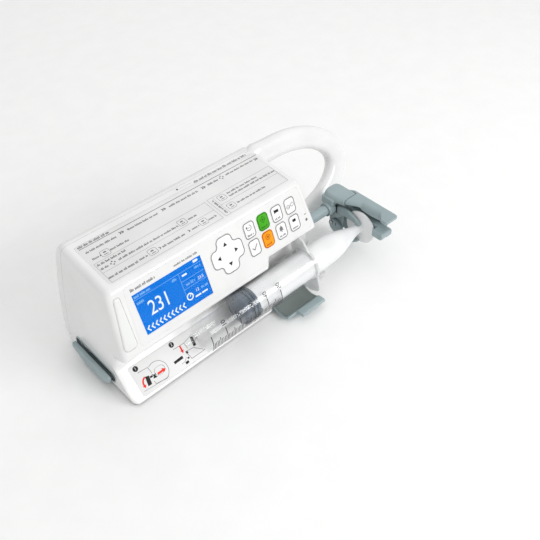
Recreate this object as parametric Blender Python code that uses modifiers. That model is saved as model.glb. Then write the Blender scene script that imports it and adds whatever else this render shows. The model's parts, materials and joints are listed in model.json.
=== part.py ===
"""A bench-top syringe infusion pump with a loaded 50 ml syringe, as an assembly.

Lengths in this file are millimetres in the pump's own frame: X runs along the syringe from the
nozzle to the plunger, Y from the front rim to the back, Z up from the table. point() turns them
into metres in the model's frame, whose origin is the bottom centre of the whole pump.
"""

import math

import bmesh
import bpy
from mathutils import Matrix, Vector

MM = 0.001
GAP = 0.3

# The model's origin in the pump's own frame.
CENTRE_X = 43.0
CENTRE_Y = 38.0

# Case
HEIGHT = 101.0
BASE_HALF = 105.5
LEAN = 11.5
LEAN_POWER = 1.6
WALL = 2.8
LEFT_ROUNDING = 5.0
RIGHT_ROUNDING = 3.0
SPLIT_Y = 88.0
FOOT_HEIGHT = 1.7
BASE_Z = 2.0

# Front panel: it leans back, and its own frame starts at the display's top edge.
PANEL_LEAN = math.radians(23.14)
PANEL_Y = 26.1
PANEL_Z = 85.0
TOP_SLOPE = math.radians(4.44)
TOP_Y = 30.6
TOP_Z = 95.5

# Cradle that the syringe lies in
SLOPE = math.radians(42.0)
SLOPE_Z = 3.64
LIP_V = 45.5
BAY_LIP_V = 36.5
BAY_X = 38.7
STEP_X = 42.0

# Display and keys, along the panel
DISPLAY_X = (-77.4, -14.4)
DISPLAY_V = (0.0, 34.2)
KEY_X = 34.8
KEY_PITCH_X = 14.96
KEY_V = 3.96
KEY_PITCH_V = 15.79
KEY_SIZE = (11.7, 14.4)
KEY_TRAVEL = 0.5
ARROW_X = 9.0
ARROW_V = 12.0
ARROW_REACH = 16.2
ARROW_WIDTH = 16.2

# Syringe
SYRINGE_Y = 3.7
SYRINGE_Z = 28.6
BARREL_R = 15.8
BORE_R = 14.6
BARREL_X = (-39.6, 80.0)
FLANGE_X = (79.0, 81.5)
FLANGE_REACH = 26.4
STOPPER_X = (-7.2, 15.7)
DISC_X = (150.5, 153.0)
DISC_R = 16.3

# Drive
TUBE_Y = 35.1
TUBE_Z = 37.75
TUBE_R = 5.0
TUBE_BORE = 3.6
SCREW_Y = 57.0
SCREW_Z = 28.0
SCREW_R = 4.0
ROD_Y = 50.0
ROD_Z = 50.0
ROD_R = 4.0
CARRIAGE_HALF = 12.0
GEAR_MODULE = 1.0
SCREW_TEETH = 24
MOTOR_TEETH = 12
GEAR_X = (-86.0, -82.5)
MOTOR_ANGLE = math.radians(60.0)
NUT_PIVOT = (46.0, 20.5)

# Pusher head
HEAD_X = (153.8, 160.8)
CLAW_X = (146.0, 149.2)
CLAW_PIVOTS = {"upper": (33.5, 30.8), "lower": (33.5, 19.2)}

# Barrel clamp, modelled open
CLAMP_X = (39.2, 76.5)
CLAMP_LIP_X = (49.5, 76.5)
CLAMP_HINGE = (8.0, 6.8)
CLAMP_OPEN = math.radians(35.0)

# Dock release lever on the left end
LEVER_Y = (24.0, 78.0)
LEVER_HINGE_X = -101.5
LEVER_HINGE_Z = 8.6

# Rotations that lay a flat outline: local X and Y are the outline's, local Z its thickness.
FLAT = (0.0, 0.0, 0.0)
ACROSS = (math.pi / 2, 0.0, math.pi / 2)
UPRIGHT = (math.pi / 2, 0.0, 0.0)
ON_PANEL = (math.pi / 2 - PANEL_LEAN, 0.0, 0.0)
ON_TOP = (TOP_SLOPE, 0.0, 0.0)
ON_SLOPE = (SLOPE, 0.0, 0.0)
ALONG_X = (0.0, math.pi / 2, 0.0)
ALONG_Y = (-math.pi / 2, 0.0, 0.0)


def clear_scene():
    for obj in list(bpy.data.objects):
        bpy.data.objects.remove(obj)


def new_collection(name):
    found = bpy.data.collections.new(name)
    bpy.context.scene.collection.children.link(found)
    return found


clear_scene()
PARTS = new_collection("syringe_pump")
CUTTERS = new_collection("cutters")
CUTTERS.hide_render = True


def material(name, colour, roughness, metallic=0.0, alpha=1.0):
    made = bpy.data.materials.new(name)
    made.use_nodes = True
    made.diffuse_color = (*colour, alpha)
    shader = made.node_tree.nodes["Principled BSDF"]
    shader.inputs["Base Color"].default_value = (*colour, 1.0)
    shader.inputs["Roughness"].default_value = roughness
    shader.inputs["Metallic"].default_value = metallic
    shader.inputs["Alpha"].default_value = alpha
    return made


WHITE = material("warm_white_plastic", (0.86, 0.86, 0.85), 0.3)
OVERLAY = material("overlay_film", (0.88, 0.88, 0.87), 0.4)
GREY = material("grey_blue_plastic", (0.32, 0.40, 0.42), 0.4)
KEY_WHITE = material("key_white", (0.9, 0.9, 0.9), 0.35)
KEY_GREEN = material("key_green", (0.07, 0.43, 0.01), 0.35)
KEY_ORANGE = material("key_orange", (1.0, 0.36, 0.0), 0.35)
SCREEN = material("lit_screen", (0.0, 0.24, 0.83), 0.2)
CLEAR = material("clear_plastic", (0.9, 0.95, 1.0), 0.05, alpha=0.3)
LENS = material("frosted_lens", (0.8, 0.82, 0.8), 0.4)
RUBBER = material("dark_rubber", (0.03, 0.035, 0.04), 0.7)
STEEL = material("steel", (0.55, 0.55, 0.57), 0.3, metallic=1.0)
BRASS = material("brass", (0.7, 0.52, 0.25), 0.35, metallic=1.0)
BOARD = material("circuit_board", (0.02, 0.18, 0.07), 0.5)
BLACK = material("black_plastic", (0.02, 0.02, 0.02), 0.5)
ACETAL = material("acetal", (0.85, 0.84, 0.78), 0.45)
BATTERY = material("battery_wrap", (0.08, 0.12, 0.35), 0.5)


def point(x, y, z):
    return Vector((x - CENTRE_X, y - CENTRE_Y, z)) * MM


def on_panel(x, v, n=0.0):
    """A point v down the front panel and n out of it."""
    y = PANEL_Y - v * math.sin(PANEL_LEAN) - n * math.cos(PANEL_LEAN)
    z = PANEL_Z - v * math.cos(PANEL_LEAN) + n * math.sin(PANEL_LEAN)
    return (x, y, z)


def on_top(x, w, n=0.0):
    """A point w back along the top face and n out of it."""
    y = TOP_Y + w * math.cos(TOP_SLOPE) - n * math.sin(TOP_SLOPE)
    return (x, y, TOP_Z + w * math.sin(TOP_SLOPE) + n * math.cos(TOP_SLOPE))


def on_slope(x, s, n=0.0):
    """A point s up the cradle's slope and n out of it."""
    y = s * math.cos(SLOPE) - n * math.sin(SLOPE)
    return (x, y, SLOPE_Z + s * math.sin(SLOPE) + n * math.cos(SLOPE))


def half_width(z):
    """Half the case's length at a height: its ends lean in towards the top."""
    return BASE_HALF - LEAN * (max(z, 0.0) / HEIGHT) ** LEAN_POWER


# ---------------------------------------------------------------- outlines


def line_crossing(first, first_way, second, second_way):
    det = first_way.x * second_way.y - first_way.y * second_way.x
    if abs(det) < 1e-9:
        return second.copy()
    apart = second - first
    return first + first_way * ((apart.x * second_way.y - apart.y * second_way.x) / det)


def rounded_outline(corners, steps=4, grow=0.0):
    """Points of a closed anticlockwise outline from (a, b, radius) corners, moved out by grow."""
    places = [Vector((a, b)) for a, b, _ in corners]
    count = len(places)
    sides = []
    for i in range(count):
        way = (places[(i + 1) % count] - places[i]).normalized()
        out = Vector((way.y, -way.x))
        sides.append((places[i] + out * grow, way))
    points = []
    for i in range(count):
        before, after = sides[i - 1], sides[i]
        corner = line_crossing(before[0], before[1], after[0], after[1])
        cross = before[1].x * after[1].y - before[1].y * after[1].x
        turn = math.atan2(cross, before[1].dot(after[1]))
        radius = max(corners[i][2] + (grow if turn > 0 else -grow), 0.05)
        reach = radius * math.tan(abs(turn) / 2)
        start = corner - before[1] * reach
        side = 1.0 if turn > 0 else -1.0
        inward = Vector((-before[1].y, before[1].x)) * side
        centre = start + inward * radius
        for k in range(steps + 1):
            angle = turn * k / steps
            points.append(centre + Matrix.Rotation(angle, 2) @ (start - centre))
    return [(p.x, p.y) for p in points]


def rounded_rectangle(width, height, radius, at=(0.0, 0.0), steps=4, grow=0.0):
    a, b = width / 2, height / 2
    corners = [(-a, -b, radius), (a, -b, radius), (a, b, radius), (-a, b, radius)]
    placed = [(x + at[0], y + at[1], r) for x, y, r in corners]
    return rounded_outline(placed, steps, grow)


def box_outline(low_a, low_b, high_a, high_b):
    return [(low_a, low_b), (high_a, low_b), (high_a, high_b), (low_a, high_b)]


def arc(centre, radius, start, end, steps):
    """Points on an arc, angles in degrees, anticlockwise when end is over start."""
    found = []
    for k in range(steps + 1):
        angle = math.radians(start + (end - start) * k / steps)
        found.append((centre[0] + radius * math.cos(angle), centre[1] + radius * math.sin(angle)))
    return found


def circle(centre, radius, steps=24):
    return arc(centre, radius, 0.0, 360.0 * (steps - 1) / steps, steps - 1)


# ---------------------------------------------------------------- solids


def add_object(name, mesh, finish, at, rotation, group):
    obj = bpy.data.objects.new(name, mesh)
    obj.location = point(*at)
    obj.rotation_euler = rotation
    group.objects.link(obj)
    if group is CUTTERS:
        obj.hide_render = True
        obj.display_type = "WIRE"
    else:
        obj.data.materials.append(finish)
    return obj


def smooth(obj, angle=35.0):
    obj.data.shade_smooth()
    obj.data.set_sharp_from_angle(angle=math.radians(angle))
    return obj


def prism(name, outlines, low, high, finish=None, at=(0.0, 0.0, 0.0), rotation=FLAT, group=None):
    """A flat outline, with any holes after it, thick from low to high along its local Z."""
    group = group or PARTS
    curve = bpy.data.curves.new(name, "CURVE")
    curve.dimensions = "2D"
    curve.fill_mode = "BOTH"
    curve.extrude = (high - low) / 2 * MM
    for outline in outlines:
        spline = curve.splines.new("POLY")
        spline.points.add(len(outline) - 1)
        for spot, (a, b) in zip(spline.points, outline):
            spot.co = (a * MM, b * MM, 0.0, 1.0)
        spline.use_cyclic_u = True
    drawn = bpy.data.objects.new(name + "_outline", curve)
    bpy.context.scene.collection.objects.link(drawn)
    graph = bpy.context.evaluated_depsgraph_get()
    mesh = bpy.data.meshes.new_from_object(drawn.evaluated_get(graph))
    bpy.data.objects.remove(drawn)
    bpy.data.curves.remove(curve)
    mesh.transform(Matrix.Translation((0.0, 0.0, (low + high) / 2 * MM)))
    work = bmesh.new()
    work.from_mesh(mesh)
    bmesh.ops.remove_doubles(work, verts=work.verts, dist=1e-6)
    bmesh.ops.recalc_face_normals(work, faces=work.faces)
    work.to_mesh(mesh)
    work.free()
    mesh.name = name
    return smooth(add_object(name, mesh, finish, at, rotation, group))


def box(name, low, high, finish=None, group=None, at=(0.0, 0.0, 0.0), rotation=FLAT):
    """A box between two corners, from the cube primitive."""
    work = bmesh.new()
    bmesh.ops.create_cube(work, size=1.0)
    size = [(b - a) * MM for a, b in zip(low, high)]
    middle = Vector([(a + b) / 2 * MM for a, b in zip(low, high)])
    bmesh.ops.scale(work, vec=size, verts=work.verts)
    bmesh.ops.translate(work, vec=middle, verts=work.verts)
    mesh = bpy.data.meshes.new(name)
    work.to_mesh(mesh)
    work.free()
    return add_object(name, mesh, finish, at, rotation, group or PARTS)


def turned(name, profile, finish=None, at=(0.0, 0.0, 0.0), rotation=ALONG_X, steps=24, ring=False,
           group=None):
    """A turned piece from (along, radius) points, listed from its low end to its high end.

    A ring's profile goes up its outside and back down its bore.
    """
    mesh = bpy.data.meshes.new(name)
    spots = [(radius * MM, 0.0, along * MM) for along, radius in reversed(profile)]
    edges = [(i, i + 1) for i in range(len(spots) - 1)]
    if ring:
        edges.append((len(spots) - 1, 0))
    mesh.from_pydata(spots, edges, [])
    obj = add_object(name, mesh, finish, at, rotation, group or PARTS)
    screw = obj.modifiers.new("turn", "SCREW")
    screw.axis = "Z"
    screw.steps = steps
    screw.render_steps = steps
    screw.use_merge_vertices = True
    screw.merge_threshold = 0.00001
    screw.use_smooth_shade = True
    return obj


def rod(name, radius, start, end, finish=None, steps=20, group=None, rotation=ALONG_X):
    """A plain cylinder from start for a length, along the rotation's local Z."""
    length = end
    profile = [(0.0, 0.0), (0.0, radius), (length, radius), (length, 0.0)]
    return turned(name, profile, finish, start, rotation, steps, group=group)


def tube_piece(name, outer, bore, start, length, finish=None, steps=24, rotation=ALONG_X):
    profile = [(0.0, bore), (0.0, outer), (length, outer), (length, bore)]
    return turned(name, profile, finish, start, rotation, steps, ring=True)


def apply_boolean(obj, other, operation, label):
    step = obj.modifiers.new(label, "BOOLEAN")
    step.operation = operation
    step.solver = "EXACT"
    step.object = other
    return obj


def cut(obj, *others):
    for other in others:
        apply_boolean(obj, other, "DIFFERENCE", "cut_" + other.name)
    return obj


def join(obj, *others):
    for other in others:
        apply_boolean(obj, other, "UNION", "join_" + other.name)
    return obj


def loft(name, rings, finish=None, group=None):
    """A closed skin over rings of points that all have the same count, ending in two points."""
    work = bmesh.new()
    rows = []
    for ring in rings:
        rows.append([work.verts.new(point(*spot)) for spot in ring])
    for low, high in zip(rows, rows[1:]):
        if len(low) == 1 or len(high) == 1:
            tip = low[0] if len(low) == 1 else high[0]
            base = high if len(low) == 1 else low
            for k in range(len(base)):
                work.faces.new((tip, base[k], base[(k + 1) % len(base)]))
            continue
        for k in range(len(low)):
            after = (k + 1) % len(low)
            work.faces.new((low[k], low[after], high[after], high[k]))
    bmesh.ops.recalc_face_normals(work, faces=work.faces)
    mesh = bpy.data.meshes.new(name)
    work.to_mesh(mesh)
    work.free()
    return smooth(add_object(name, mesh, finish, (CENTRE_X, CENTRE_Y, 0.0), FLAT, group or PARTS), 30.0)


# ---------------------------------------------------------------- case


def lip_corner(v):
    _, y, z = on_panel(0.0, v)
    return (y, z, 2.6)


def case_corners(zone):
    """Corners of the case's section in Y and Z: at the left end, along the cradle, or past it."""
    top = on_top(0.0, 68.0)
    shared = [(1.4, BASE_Z, 0.8), (98.0, BASE_Z, 14.0), (99.6, 55.0, 80.0), (top[1], top[2], 9.0),
              (TOP_Y, TOP_Z, 7.0)]
    slope_at_25 = SLOPE_Z + 24.5 * math.tan(SLOPE)
    recess = {
        "left": [lip_corner(LIP_V), (14.5, 34.0, 4.0), (20.5, SLOPE_Z + 20.5 * math.tan(SLOPE), 4.0)],
        "cradle": [lip_corner(LIP_V), (23.0, 42.2, 4.0), (24.5, slope_at_25, 3.0)],
        "bay": [lip_corner(BAY_LIP_V), (27.0, 50.8, 4.0), (24.5, slope_at_25, 3.0)],
    }
    return shared + recess[zone] + [(0.1, SLOPE_Z + 0.1, 1.0)]


def shrunk(outline, centre, scale):
    return [(centre[0] + (a - centre[0]) * scale, centre[1] + (b - centre[1]) * scale) for a, b in outline]


def end_rings(outline, side, rounding, margin, centre):
    """Rings from where an end's rounding starts to the middle of its leaning face."""
    rings = []
    steps = 4 if rounding else 0
    for k in range(steps + 1):
        angle = math.pi / 2 * k / steps if steps else 0.0
        inset = rounding * (1 - math.cos(angle))
        back = margin + rounding * (1 - math.sin(angle))
        section = shrunk(outline, centre, 1 - inset / 50.0)
        rings.append([(side * (half_width(b) - back), a, b) for a, b in section])
    edge = 1 - rounding / 50.0
    for scale in (0.62, 0.3):
        section = shrunk(outline, centre, edge * scale)
        rings.append([(side * (half_width(b) - margin), a, b) for a, b in section])
    rings.append([(side * (half_width(centre[1]) - margin), centre[0], centre[1])])
    return rings


def section_ring(x, outline):
    return [(x, a, b) for a, b in outline]


def case_skin(name, margin=0.0, finish=None, group=None):
    """The outside of the closed case, moved out by margin."""
    left = rounded_outline(case_corners("left"), grow=margin)
    cradle = rounded_outline(case_corners("cradle"), grow=margin)
    bay = rounded_outline(case_corners("bay"), grow=margin)
    rings = list(reversed(end_rings(left, -1, LEFT_ROUNDING, -margin, (55.0, 50.0))))
    rings.append(section_ring(-84.0, cradle))
    rings.append(section_ring(STEP_X, cradle))
    rings.append(section_ring(STEP_X + 2.5, bay))
    rings += end_rings(bay, 1, RIGHT_ROUNDING, -margin, (60.0, 56.0))
    return loft(name, rings, finish, group or CUTTERS)


def cavity_corners(zone):
    shared = [(28.5, 4.8, 0.4), (28.5, -5.0, 0.4), (80.0, -5.0, 0.4), (80.0, 4.8, 0.4), (95.4, 4.8, 11.0),
              (96.8, 55.0, 77.0), (95.6, 98.0, 6.0), (32.3, 92.9, 4.0)]
    if zone == "cradle":
        return [(8.5, 4.8, 0.3)] + shared + [(13.9, 49.6, 1.2), (25.9, 44.9, 2.0), (27.2, 24.6, 1.5)]
    return [(27.2, 4.8, 0.3)] + shared + [(16.5, 56.6, 1.2), (29.6, 54.4, 2.0), (27.4, 24.6, 1.5)]


def case_cavity(name):
    cradle = rounded_outline(cavity_corners("cradle"), steps=3)
    bay = rounded_outline(cavity_corners("bay"), steps=3)
    centre = (60.0, 56.0)
    rings = list(reversed(end_rings(cradle, -1, 0.0, WALL, centre)))
    rings.append(section_ring(BAY_X - 3.0, cradle))
    rings.append(section_ring(BAY_X - 1.0, bay))
    rings += end_rings(bay, 1, 0.0, WALL, centre)
    return loft(name, rings, group=CUTTERS)


def cutter_box(name, low, high):
    return box(name, low, high, group=CUTTERS)


def panel_cutter(name, outline, low, high):
    return prism(name, [outline], low, high, at=on_panel(0.0, 0.0), rotation=ON_PANEL, group=CUTTERS)


def overlay_outline(grow=0.0):
    """The control film's outline on the panel, in x and up the panel."""
    corners = [(-85.3, -39.4, 3.0), (41.0, -39.4, 3.0), (44.5, -32.4, 3.0), (97.0, -32.4, 4.0),
               (91.6, 8.3, 4.0), (-81.4, 8.3, 4.0)]
    return rounded_outline(corners, steps=3, grow=grow)


def lamp_outline(grow=0.0):
    """The alarm lamp: a bar that widens downwards, beside the control film."""
    corners = [(-97.4, -35.6, 3.2), (-88.0, -35.6, 3.2), (-86.6, 3.9, 1.6), (-90.4, 3.9, 1.6)]
    return rounded_outline(corners, grow=grow)


def key_centre(column, row):
    return (KEY_X + column * KEY_PITCH_X, -(KEY_V + row * KEY_PITCH_V))


def key_outline(column, row, grow=0.0):
    return rounded_rectangle(*KEY_SIZE, 3.4, key_centre(column, row), 3, grow)


def arrow_outline(grow=0.0):
    """The arrow pad: a plus with round arms."""
    reach, half, tip, inner = ARROW_REACH, ARROW_WIDTH / 2, 5.6, 3.0
    corners = []
    for turn in range(4):
        for a, b, radius in ((reach, -half, tip), (reach, half, tip), (half, half, inner)):
            spot = Matrix.Rotation(math.pi / 2 * turn, 2) @ Vector((a, b))
            corners.append((spot.x + ARROW_X, spot.y - ARROW_V, radius))
    return rounded_outline(corners, steps=3, grow=grow)


def window_outline(grow=0.0):
    middle = (sum(DISPLAY_X) / 2, -sum(DISPLAY_V) / 2)
    return rounded_rectangle(65.0, 36.2, 0.8, middle, 2, grow)


def flange_outline(reach, half, grow=0.0):
    """The barrel flange's two wings, about the syringe's axis, in Y and Z."""
    turn = math.radians(-30.0)
    corners = [(-half, -reach, half * 0.8), (half, -reach, half * 0.8),
               (half + 5.5, 0.0, 12.0), (half, reach, half * 0.8), (-half, reach, half * 0.8),
               (-half - 5.5, 0.0, 12.0)]
    found = []
    for a, b in rounded_outline(corners, grow=grow):
        spot = Matrix.Rotation(turn, 2) @ Vector((a, b))
        found.append((spot.x + SYRINGE_Y, spot.y + SYRINGE_Z))
    return found


def lever_outline(grow=0.0):
    """The dock lever's paddle, a long lens in Y and Z."""
    low, high = LEVER_Y
    corners = [(low + 3.0, 11.0, 3.0), (low + 14.0, 4.2, 10.0), (high - 18.0, 4.2, 14.0), (high, 12.0, 3.0),
               (high - 2.0, 18.5, 2.5), (low + 1.0, 18.0, 2.5)]
    return rounded_outline(corners, steps=3, grow=grow)


def case_cutters():
    """Everything cut through the front housing."""
    keys = [panel_cutter(f"hole_key_{column}_{row}", key_outline(column, row, GAP), -8.0, 3.0)
            for row in range(2) for column in range(4)]
    tools = {
        "keys": keys,
        "arrow": panel_cutter("hole_arrow", arrow_outline(GAP), -8.0, 3.0),
        "window": panel_cutter("hole_window", window_outline(GAP), -12.0, 3.0),
        "lamp": panel_cutter("hole_lamp", lamp_outline(GAP), -2.3, 3.0),
        "film": panel_cutter("film_recess", overlay_outline(GAP), -0.8, 3.0),
        "label": prism("label_recess", [top_label_outline(GAP)], -0.8, 3.0, at=on_top(0.0, 0.0),
                       rotation=ON_TOP, group=CUTTERS),
        "cradle_label": prism("cradle_label_recess", [cradle_label_outline(GAP)], -0.8, 1.2,
                              at=on_slope(0.0, 0.0), rotation=ON_SLOPE, group=CUTTERS),
        "bay": cutter_box("bay_space", (BAY_X, -20.0, 4.2), (115.0, 24.3, 30.0)),
        "clamp_well": cutter_box("clamp_well", (BAY_X, -20.0, -2.0), (76.9, 13.5, 30.0)),
        "flange": cutter_box("flange_slot", (78.2, -10.0, 40.0), (82.6, 27.0, 53.6)),
        "tube": rod("tube_hole", 7.3, (85.0, TUBE_Y, TUBE_Z), 30.0, group=CUTTERS),
        "clamp_pin": rod("clamp_pin_hole", 1.8, (31.4, *CLAMP_HINGE), 55.0, group=CUTTERS, steps=16),
        "lever": prism("lever_pocket", [box_outline(30.0, -4.0, 72.0, 24.5)], -112.0, -97.0,
                       rotation=ACROSS, group=CUTTERS),
        "lever_pin": rod("lever_pin_hole", 1.5, (LEVER_HINGE_X, 26.0, LEVER_HINGE_Z), 50.0,
                         group=CUTTERS, steps=16, rotation=ALONG_Y),
    }
    return tools


def top_label_outline(grow=0.0):
    corners = [(-86.8, 5.0, 2.5), (90.0, 5.0, 2.5), (90.0, 52.0, 2.5), (-86.8, 52.0, 2.5)]
    return rounded_outline(corners, steps=2, grow=grow)


def cradle_label_outline(grow=0.0):
    corners = [(-82.0, 3.0, 1.5), (36.0, 3.0, 1.5), (36.0, 28.0, 1.5), (-82.0, 28.0, 1.5)]
    return rounded_outline(corners, steps=2, grow=grow)


def case_shell(name, cavity):
    return cut(case_skin(name, 0.0, WHITE, PARTS), cavity)


def front_case(cavity, tools):
    shell = case_shell("front_case", cavity)
    cut(shell, cutter_box("base_opening", (-93.8, 28.6, -6.0), (102.1, 79.9, 5.0)))
    join(shell, cutter_box("lever_box", (-103.0, 24.0, 2.3), (-93.9, 81.5, 27.5)))
    cut(shell, tools["bay"], tools["clamp_well"])
    join(shell, cutter_box("clamp_lug", (77.0, 3.6, 2.6), (78.6, 12.6, 11.0)))
    cut(shell, tools["flange"], tools["film"], tools["window"], tools["lamp"], tools["arrow"])
    cut(shell, *tools["keys"])
    cut(shell, tools["label"], tools["cradle_label"], tools["tube"], tools["clamp_pin"])
    cut(shell, tools["lever"], tools["lever_pin"])
    return cut(shell, cutter_box("behind_split", (-130.0, SPLIT_Y - GAP / 2, -20.0), (130.0, 140.0, 140.0)))


def rear_case(cavity):
    shell = case_shell("rear_case", cavity)
    cut(shell, cutter_box("ahead_of_split", (-130.0, -60.0, -20.0), (130.0, SPLIT_Y + GAP / 2, 140.0)))
    cut(shell, cutter_box("inlet_hole", (-72.3, 84.0, 17.7), (-43.7, 110.0, 38.3)))
    return cut(shell, cutter_box("port_hole", (-32.3, 84.0, 19.7), (-15.7, 110.0, 34.3)))


def base_cover():
    plate = rounded_outline([(-93.5, 28.9, 0.5), (101.8, 28.9, 0.5), (101.8, 79.6, 0.5), (-93.5, 79.6, 0.5)])
    door = rounded_outline([(-44.0, 56.0, 2.0), (40.0, 56.0, 2.0), (40.0, 77.0, 2.0), (-44.0, 77.0, 2.0)])
    prism("base_cover", [plate, door], BASE_Z, BASE_Z + 2.2, WHITE)
    cover = rounded_outline([(-43.7, 56.3, 1.7), (39.7, 56.3, 1.7), (39.7, 76.7, 1.7), (-43.7, 76.7, 1.7)])
    prism("battery_door", [cover], BASE_Z, BASE_Z + 2.2, WHITE)


def carry_handle(skin):
    """The loop on the right end: a round-sided band swept along a flattened half ellipse."""
    middle_x, middle_v, reach_x, reach_v = 118.0, 50.5, 68.0, 37.5
    radial, depth, depth_middle = 10.6, 7.0, 7.2
    path = [(84.0, middle_v - reach_v, 0.0, -1.0)]
    for k in range(19):
        angle = math.pi / 2 - math.pi * k / 18
        side = Vector((math.cos(angle) / reach_x, math.sin(angle) / reach_v)).normalized()
        path.append((middle_x + reach_x * math.cos(angle), middle_v - reach_v * math.sin(angle),
                     side.x, -side.y))
    path.append((84.0, middle_v + reach_v, 0.0, 1.0))
    rings = []
    for x, v, out_x, out_v in path:
        ring = []
        for k in range(16):
            angle = 2 * math.pi * k / 16
            across = radial * math.copysign(abs(math.cos(angle)) ** 0.6, math.cos(angle))
            ahead = depth * math.copysign(abs(math.sin(angle)) ** 0.7, math.sin(angle))
            local_v = v + out_v * across
            local_n = depth_middle + ahead
            y = 97.2 - local_v * math.sin(PANEL_LEAN) - local_n * math.cos(PANEL_LEAN)
            z = 100.3 - local_v * math.cos(PANEL_LEAN) + local_n * math.sin(PANEL_LEAN)
            ring.append((x + out_x * across, y, z))
        rings.append(ring)
    for end in (0, -1):
        ring = rings[end]
        middle = tuple(sum(spot[i] for spot in ring) / len(ring) for i in range(3))
        rings.insert(0 if end == 0 else len(rings), [middle])
    return cut(loft("carry_handle", rings, WHITE), skin)


def feet():
    spots = {"front_left": (-88.0, 15.0), "front_right": (92.0, 14.0), "rear_left": (-88.0, 70.0),
             "rear_right": (88.0, 70.0)}
    for name, (x, y) in spots.items():
        profile = [(0.0, 0.0), (0.0, 5.4), (0.6, 6.0), (FOOT_HEIGHT, 6.0), (FOOT_HEIGHT, 0.0)]
        turned("foot_" + name, profile, RUBBER, (x, y, 0.0), FLAT, steps=20)


# ---------------------------------------------------------------- controls


def controls():
    film = [overlay_outline(), window_outline(-1.0), arrow_outline(GAP)]
    film += [key_outline(column, row, GAP) for row in range(2) for column in range(4)]
    prism("front_overlay", film, -0.5, 0.0, OVERLAY, on_panel(0.0, 0.0), ON_PANEL)
    prism("display_window", [window_outline()], -2.4, -0.8, CLEAR, on_panel(0.0, 0.0), ON_PANEL)
    prism("lcd_module", [window_outline()], -9.0, -2.8, SCREEN, on_panel(0.0, 0.0), ON_PANEL)
    prism("alarm_lamp", [lamp_outline()], -2.0, -0.1, LENS, on_panel(0.0, 0.0), ON_PANEL)
    names = (("key_clear", "key_start", "key_bolus", "key_power"), ("key_confirm", "key_stop", "key_silence", "key_menu"))
    finishes = {"key_start": KEY_GREEN, "key_stop": KEY_ORANGE}
    for row, columns in enumerate(names):
        for column, name in enumerate(columns):
            centre = key_centre(column, row)
            outline = rounded_rectangle(*KEY_SIZE, 3.4, steps=3)
            place = on_panel(centre[0], -centre[1])
            prism(name, [outline], -4.0, 0.35, finishes.get(name, KEY_WHITE), place, ON_PANEL)
    pad = [(a - ARROW_X, b + ARROW_V) for a, b in arrow_outline()]
    prism("arrow_pad", [pad], -4.0, 0.35, KEY_WHITE, on_panel(ARROW_X, ARROW_V), ON_PANEL)
    board = box_outline(-10.0, -28.0, 88.0, 4.0)
    prism("key_board", [board], -7.2, -5.6, BOARD, on_panel(0.0, 0.0), ON_PANEL)
    main = box_outline(-82.0, -24.0, 36.0, 4.0)
    prism("main_board", [main], -13.6, -12.0, BOARD, on_panel(0.0, 0.0), ON_PANEL)
    prism("top_label", [top_label_outline()], -0.5, 0.0, OVERLAY, on_top(0.0, 0.0), ON_TOP)
    prism("cradle_label", [cradle_label_outline()], -0.5, 0.0, OVERLAY, on_slope(0.0, 0.0), ON_SLOPE)


# ---------------------------------------------------------------- inside the case


def power():
    pack = rounded_outline([(-42.0, 66.6, 3.0), (38.0, 66.6, 3.0), (38.0, 83.4, 3.0), (-42.0, 83.4, 3.0)])
    prism("battery_pack", [pack], 6.4, 32.0, BATTERY)
    turned("speaker", [(0.0, 0.0), (0.0, 5.0), (3.0, 7.5), (6.5, 10.0), (8.0, 10.0), (8.0, 0.0)], BLACK,
           (58.0, 78.5, 5.0), FLAT)
    inlet = box("mains_inlet", (-72.0, 82.0, 18.0), (-44.0, 101.0, 38.0), BLACK)
    cut(inlet, cutter_box("inlet_socket", (-69.0, 86.0, 20.5), (-47.0, 105.0, 35.5)))
    for index, x in enumerate((-64.5, -58.0, -51.5)):
        z = 29.5 if index == 1 else 26.0
        join(inlet, cutter_box(f"inlet_pin_{index}", (x - 1.0, 84.0, z - 2.0), (x + 1.0, 94.0, z + 2.0)))
    port = box("data_port", (-32.0, 84.0, 20.0), (-16.0, 100.5, 34.0), BLACK)
    cut(port, cutter_box("port_socket", (-29.5, 88.0, 22.5), (-18.5, 105.0, 31.5)))
    pad = rounded_outline([(5.0, 44.0, 4.0), (65.0, 44.0, 4.0), (65.0, 84.0, 4.0), (5.0, 84.0, 4.0)])
    prism("rear_mount_pad", [pad], -102.9, -99.9, GREY, rotation=UPRIGHT)


def gear_outline(teeth, phase):
    """A spur gear's outline with straight-flanked teeth, thinned so that the pair runs free."""
    pitch_r = GEAR_MODULE * teeth / 2
    root, tip = pitch_r - 1.15 * GEAR_MODULE, pitch_r + 0.8 * GEAR_MODULE
    step = 2 * math.pi / teeth
    found = []
    for k in range(teeth):
        middle = phase + step * k
        for radius, part in ((root, -0.33), (tip, -0.12), (tip, 0.12), (root, 0.33)):
            angle = middle + step * part
            found.append((radius * math.cos(angle), radius * math.sin(angle)))
    return found


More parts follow.
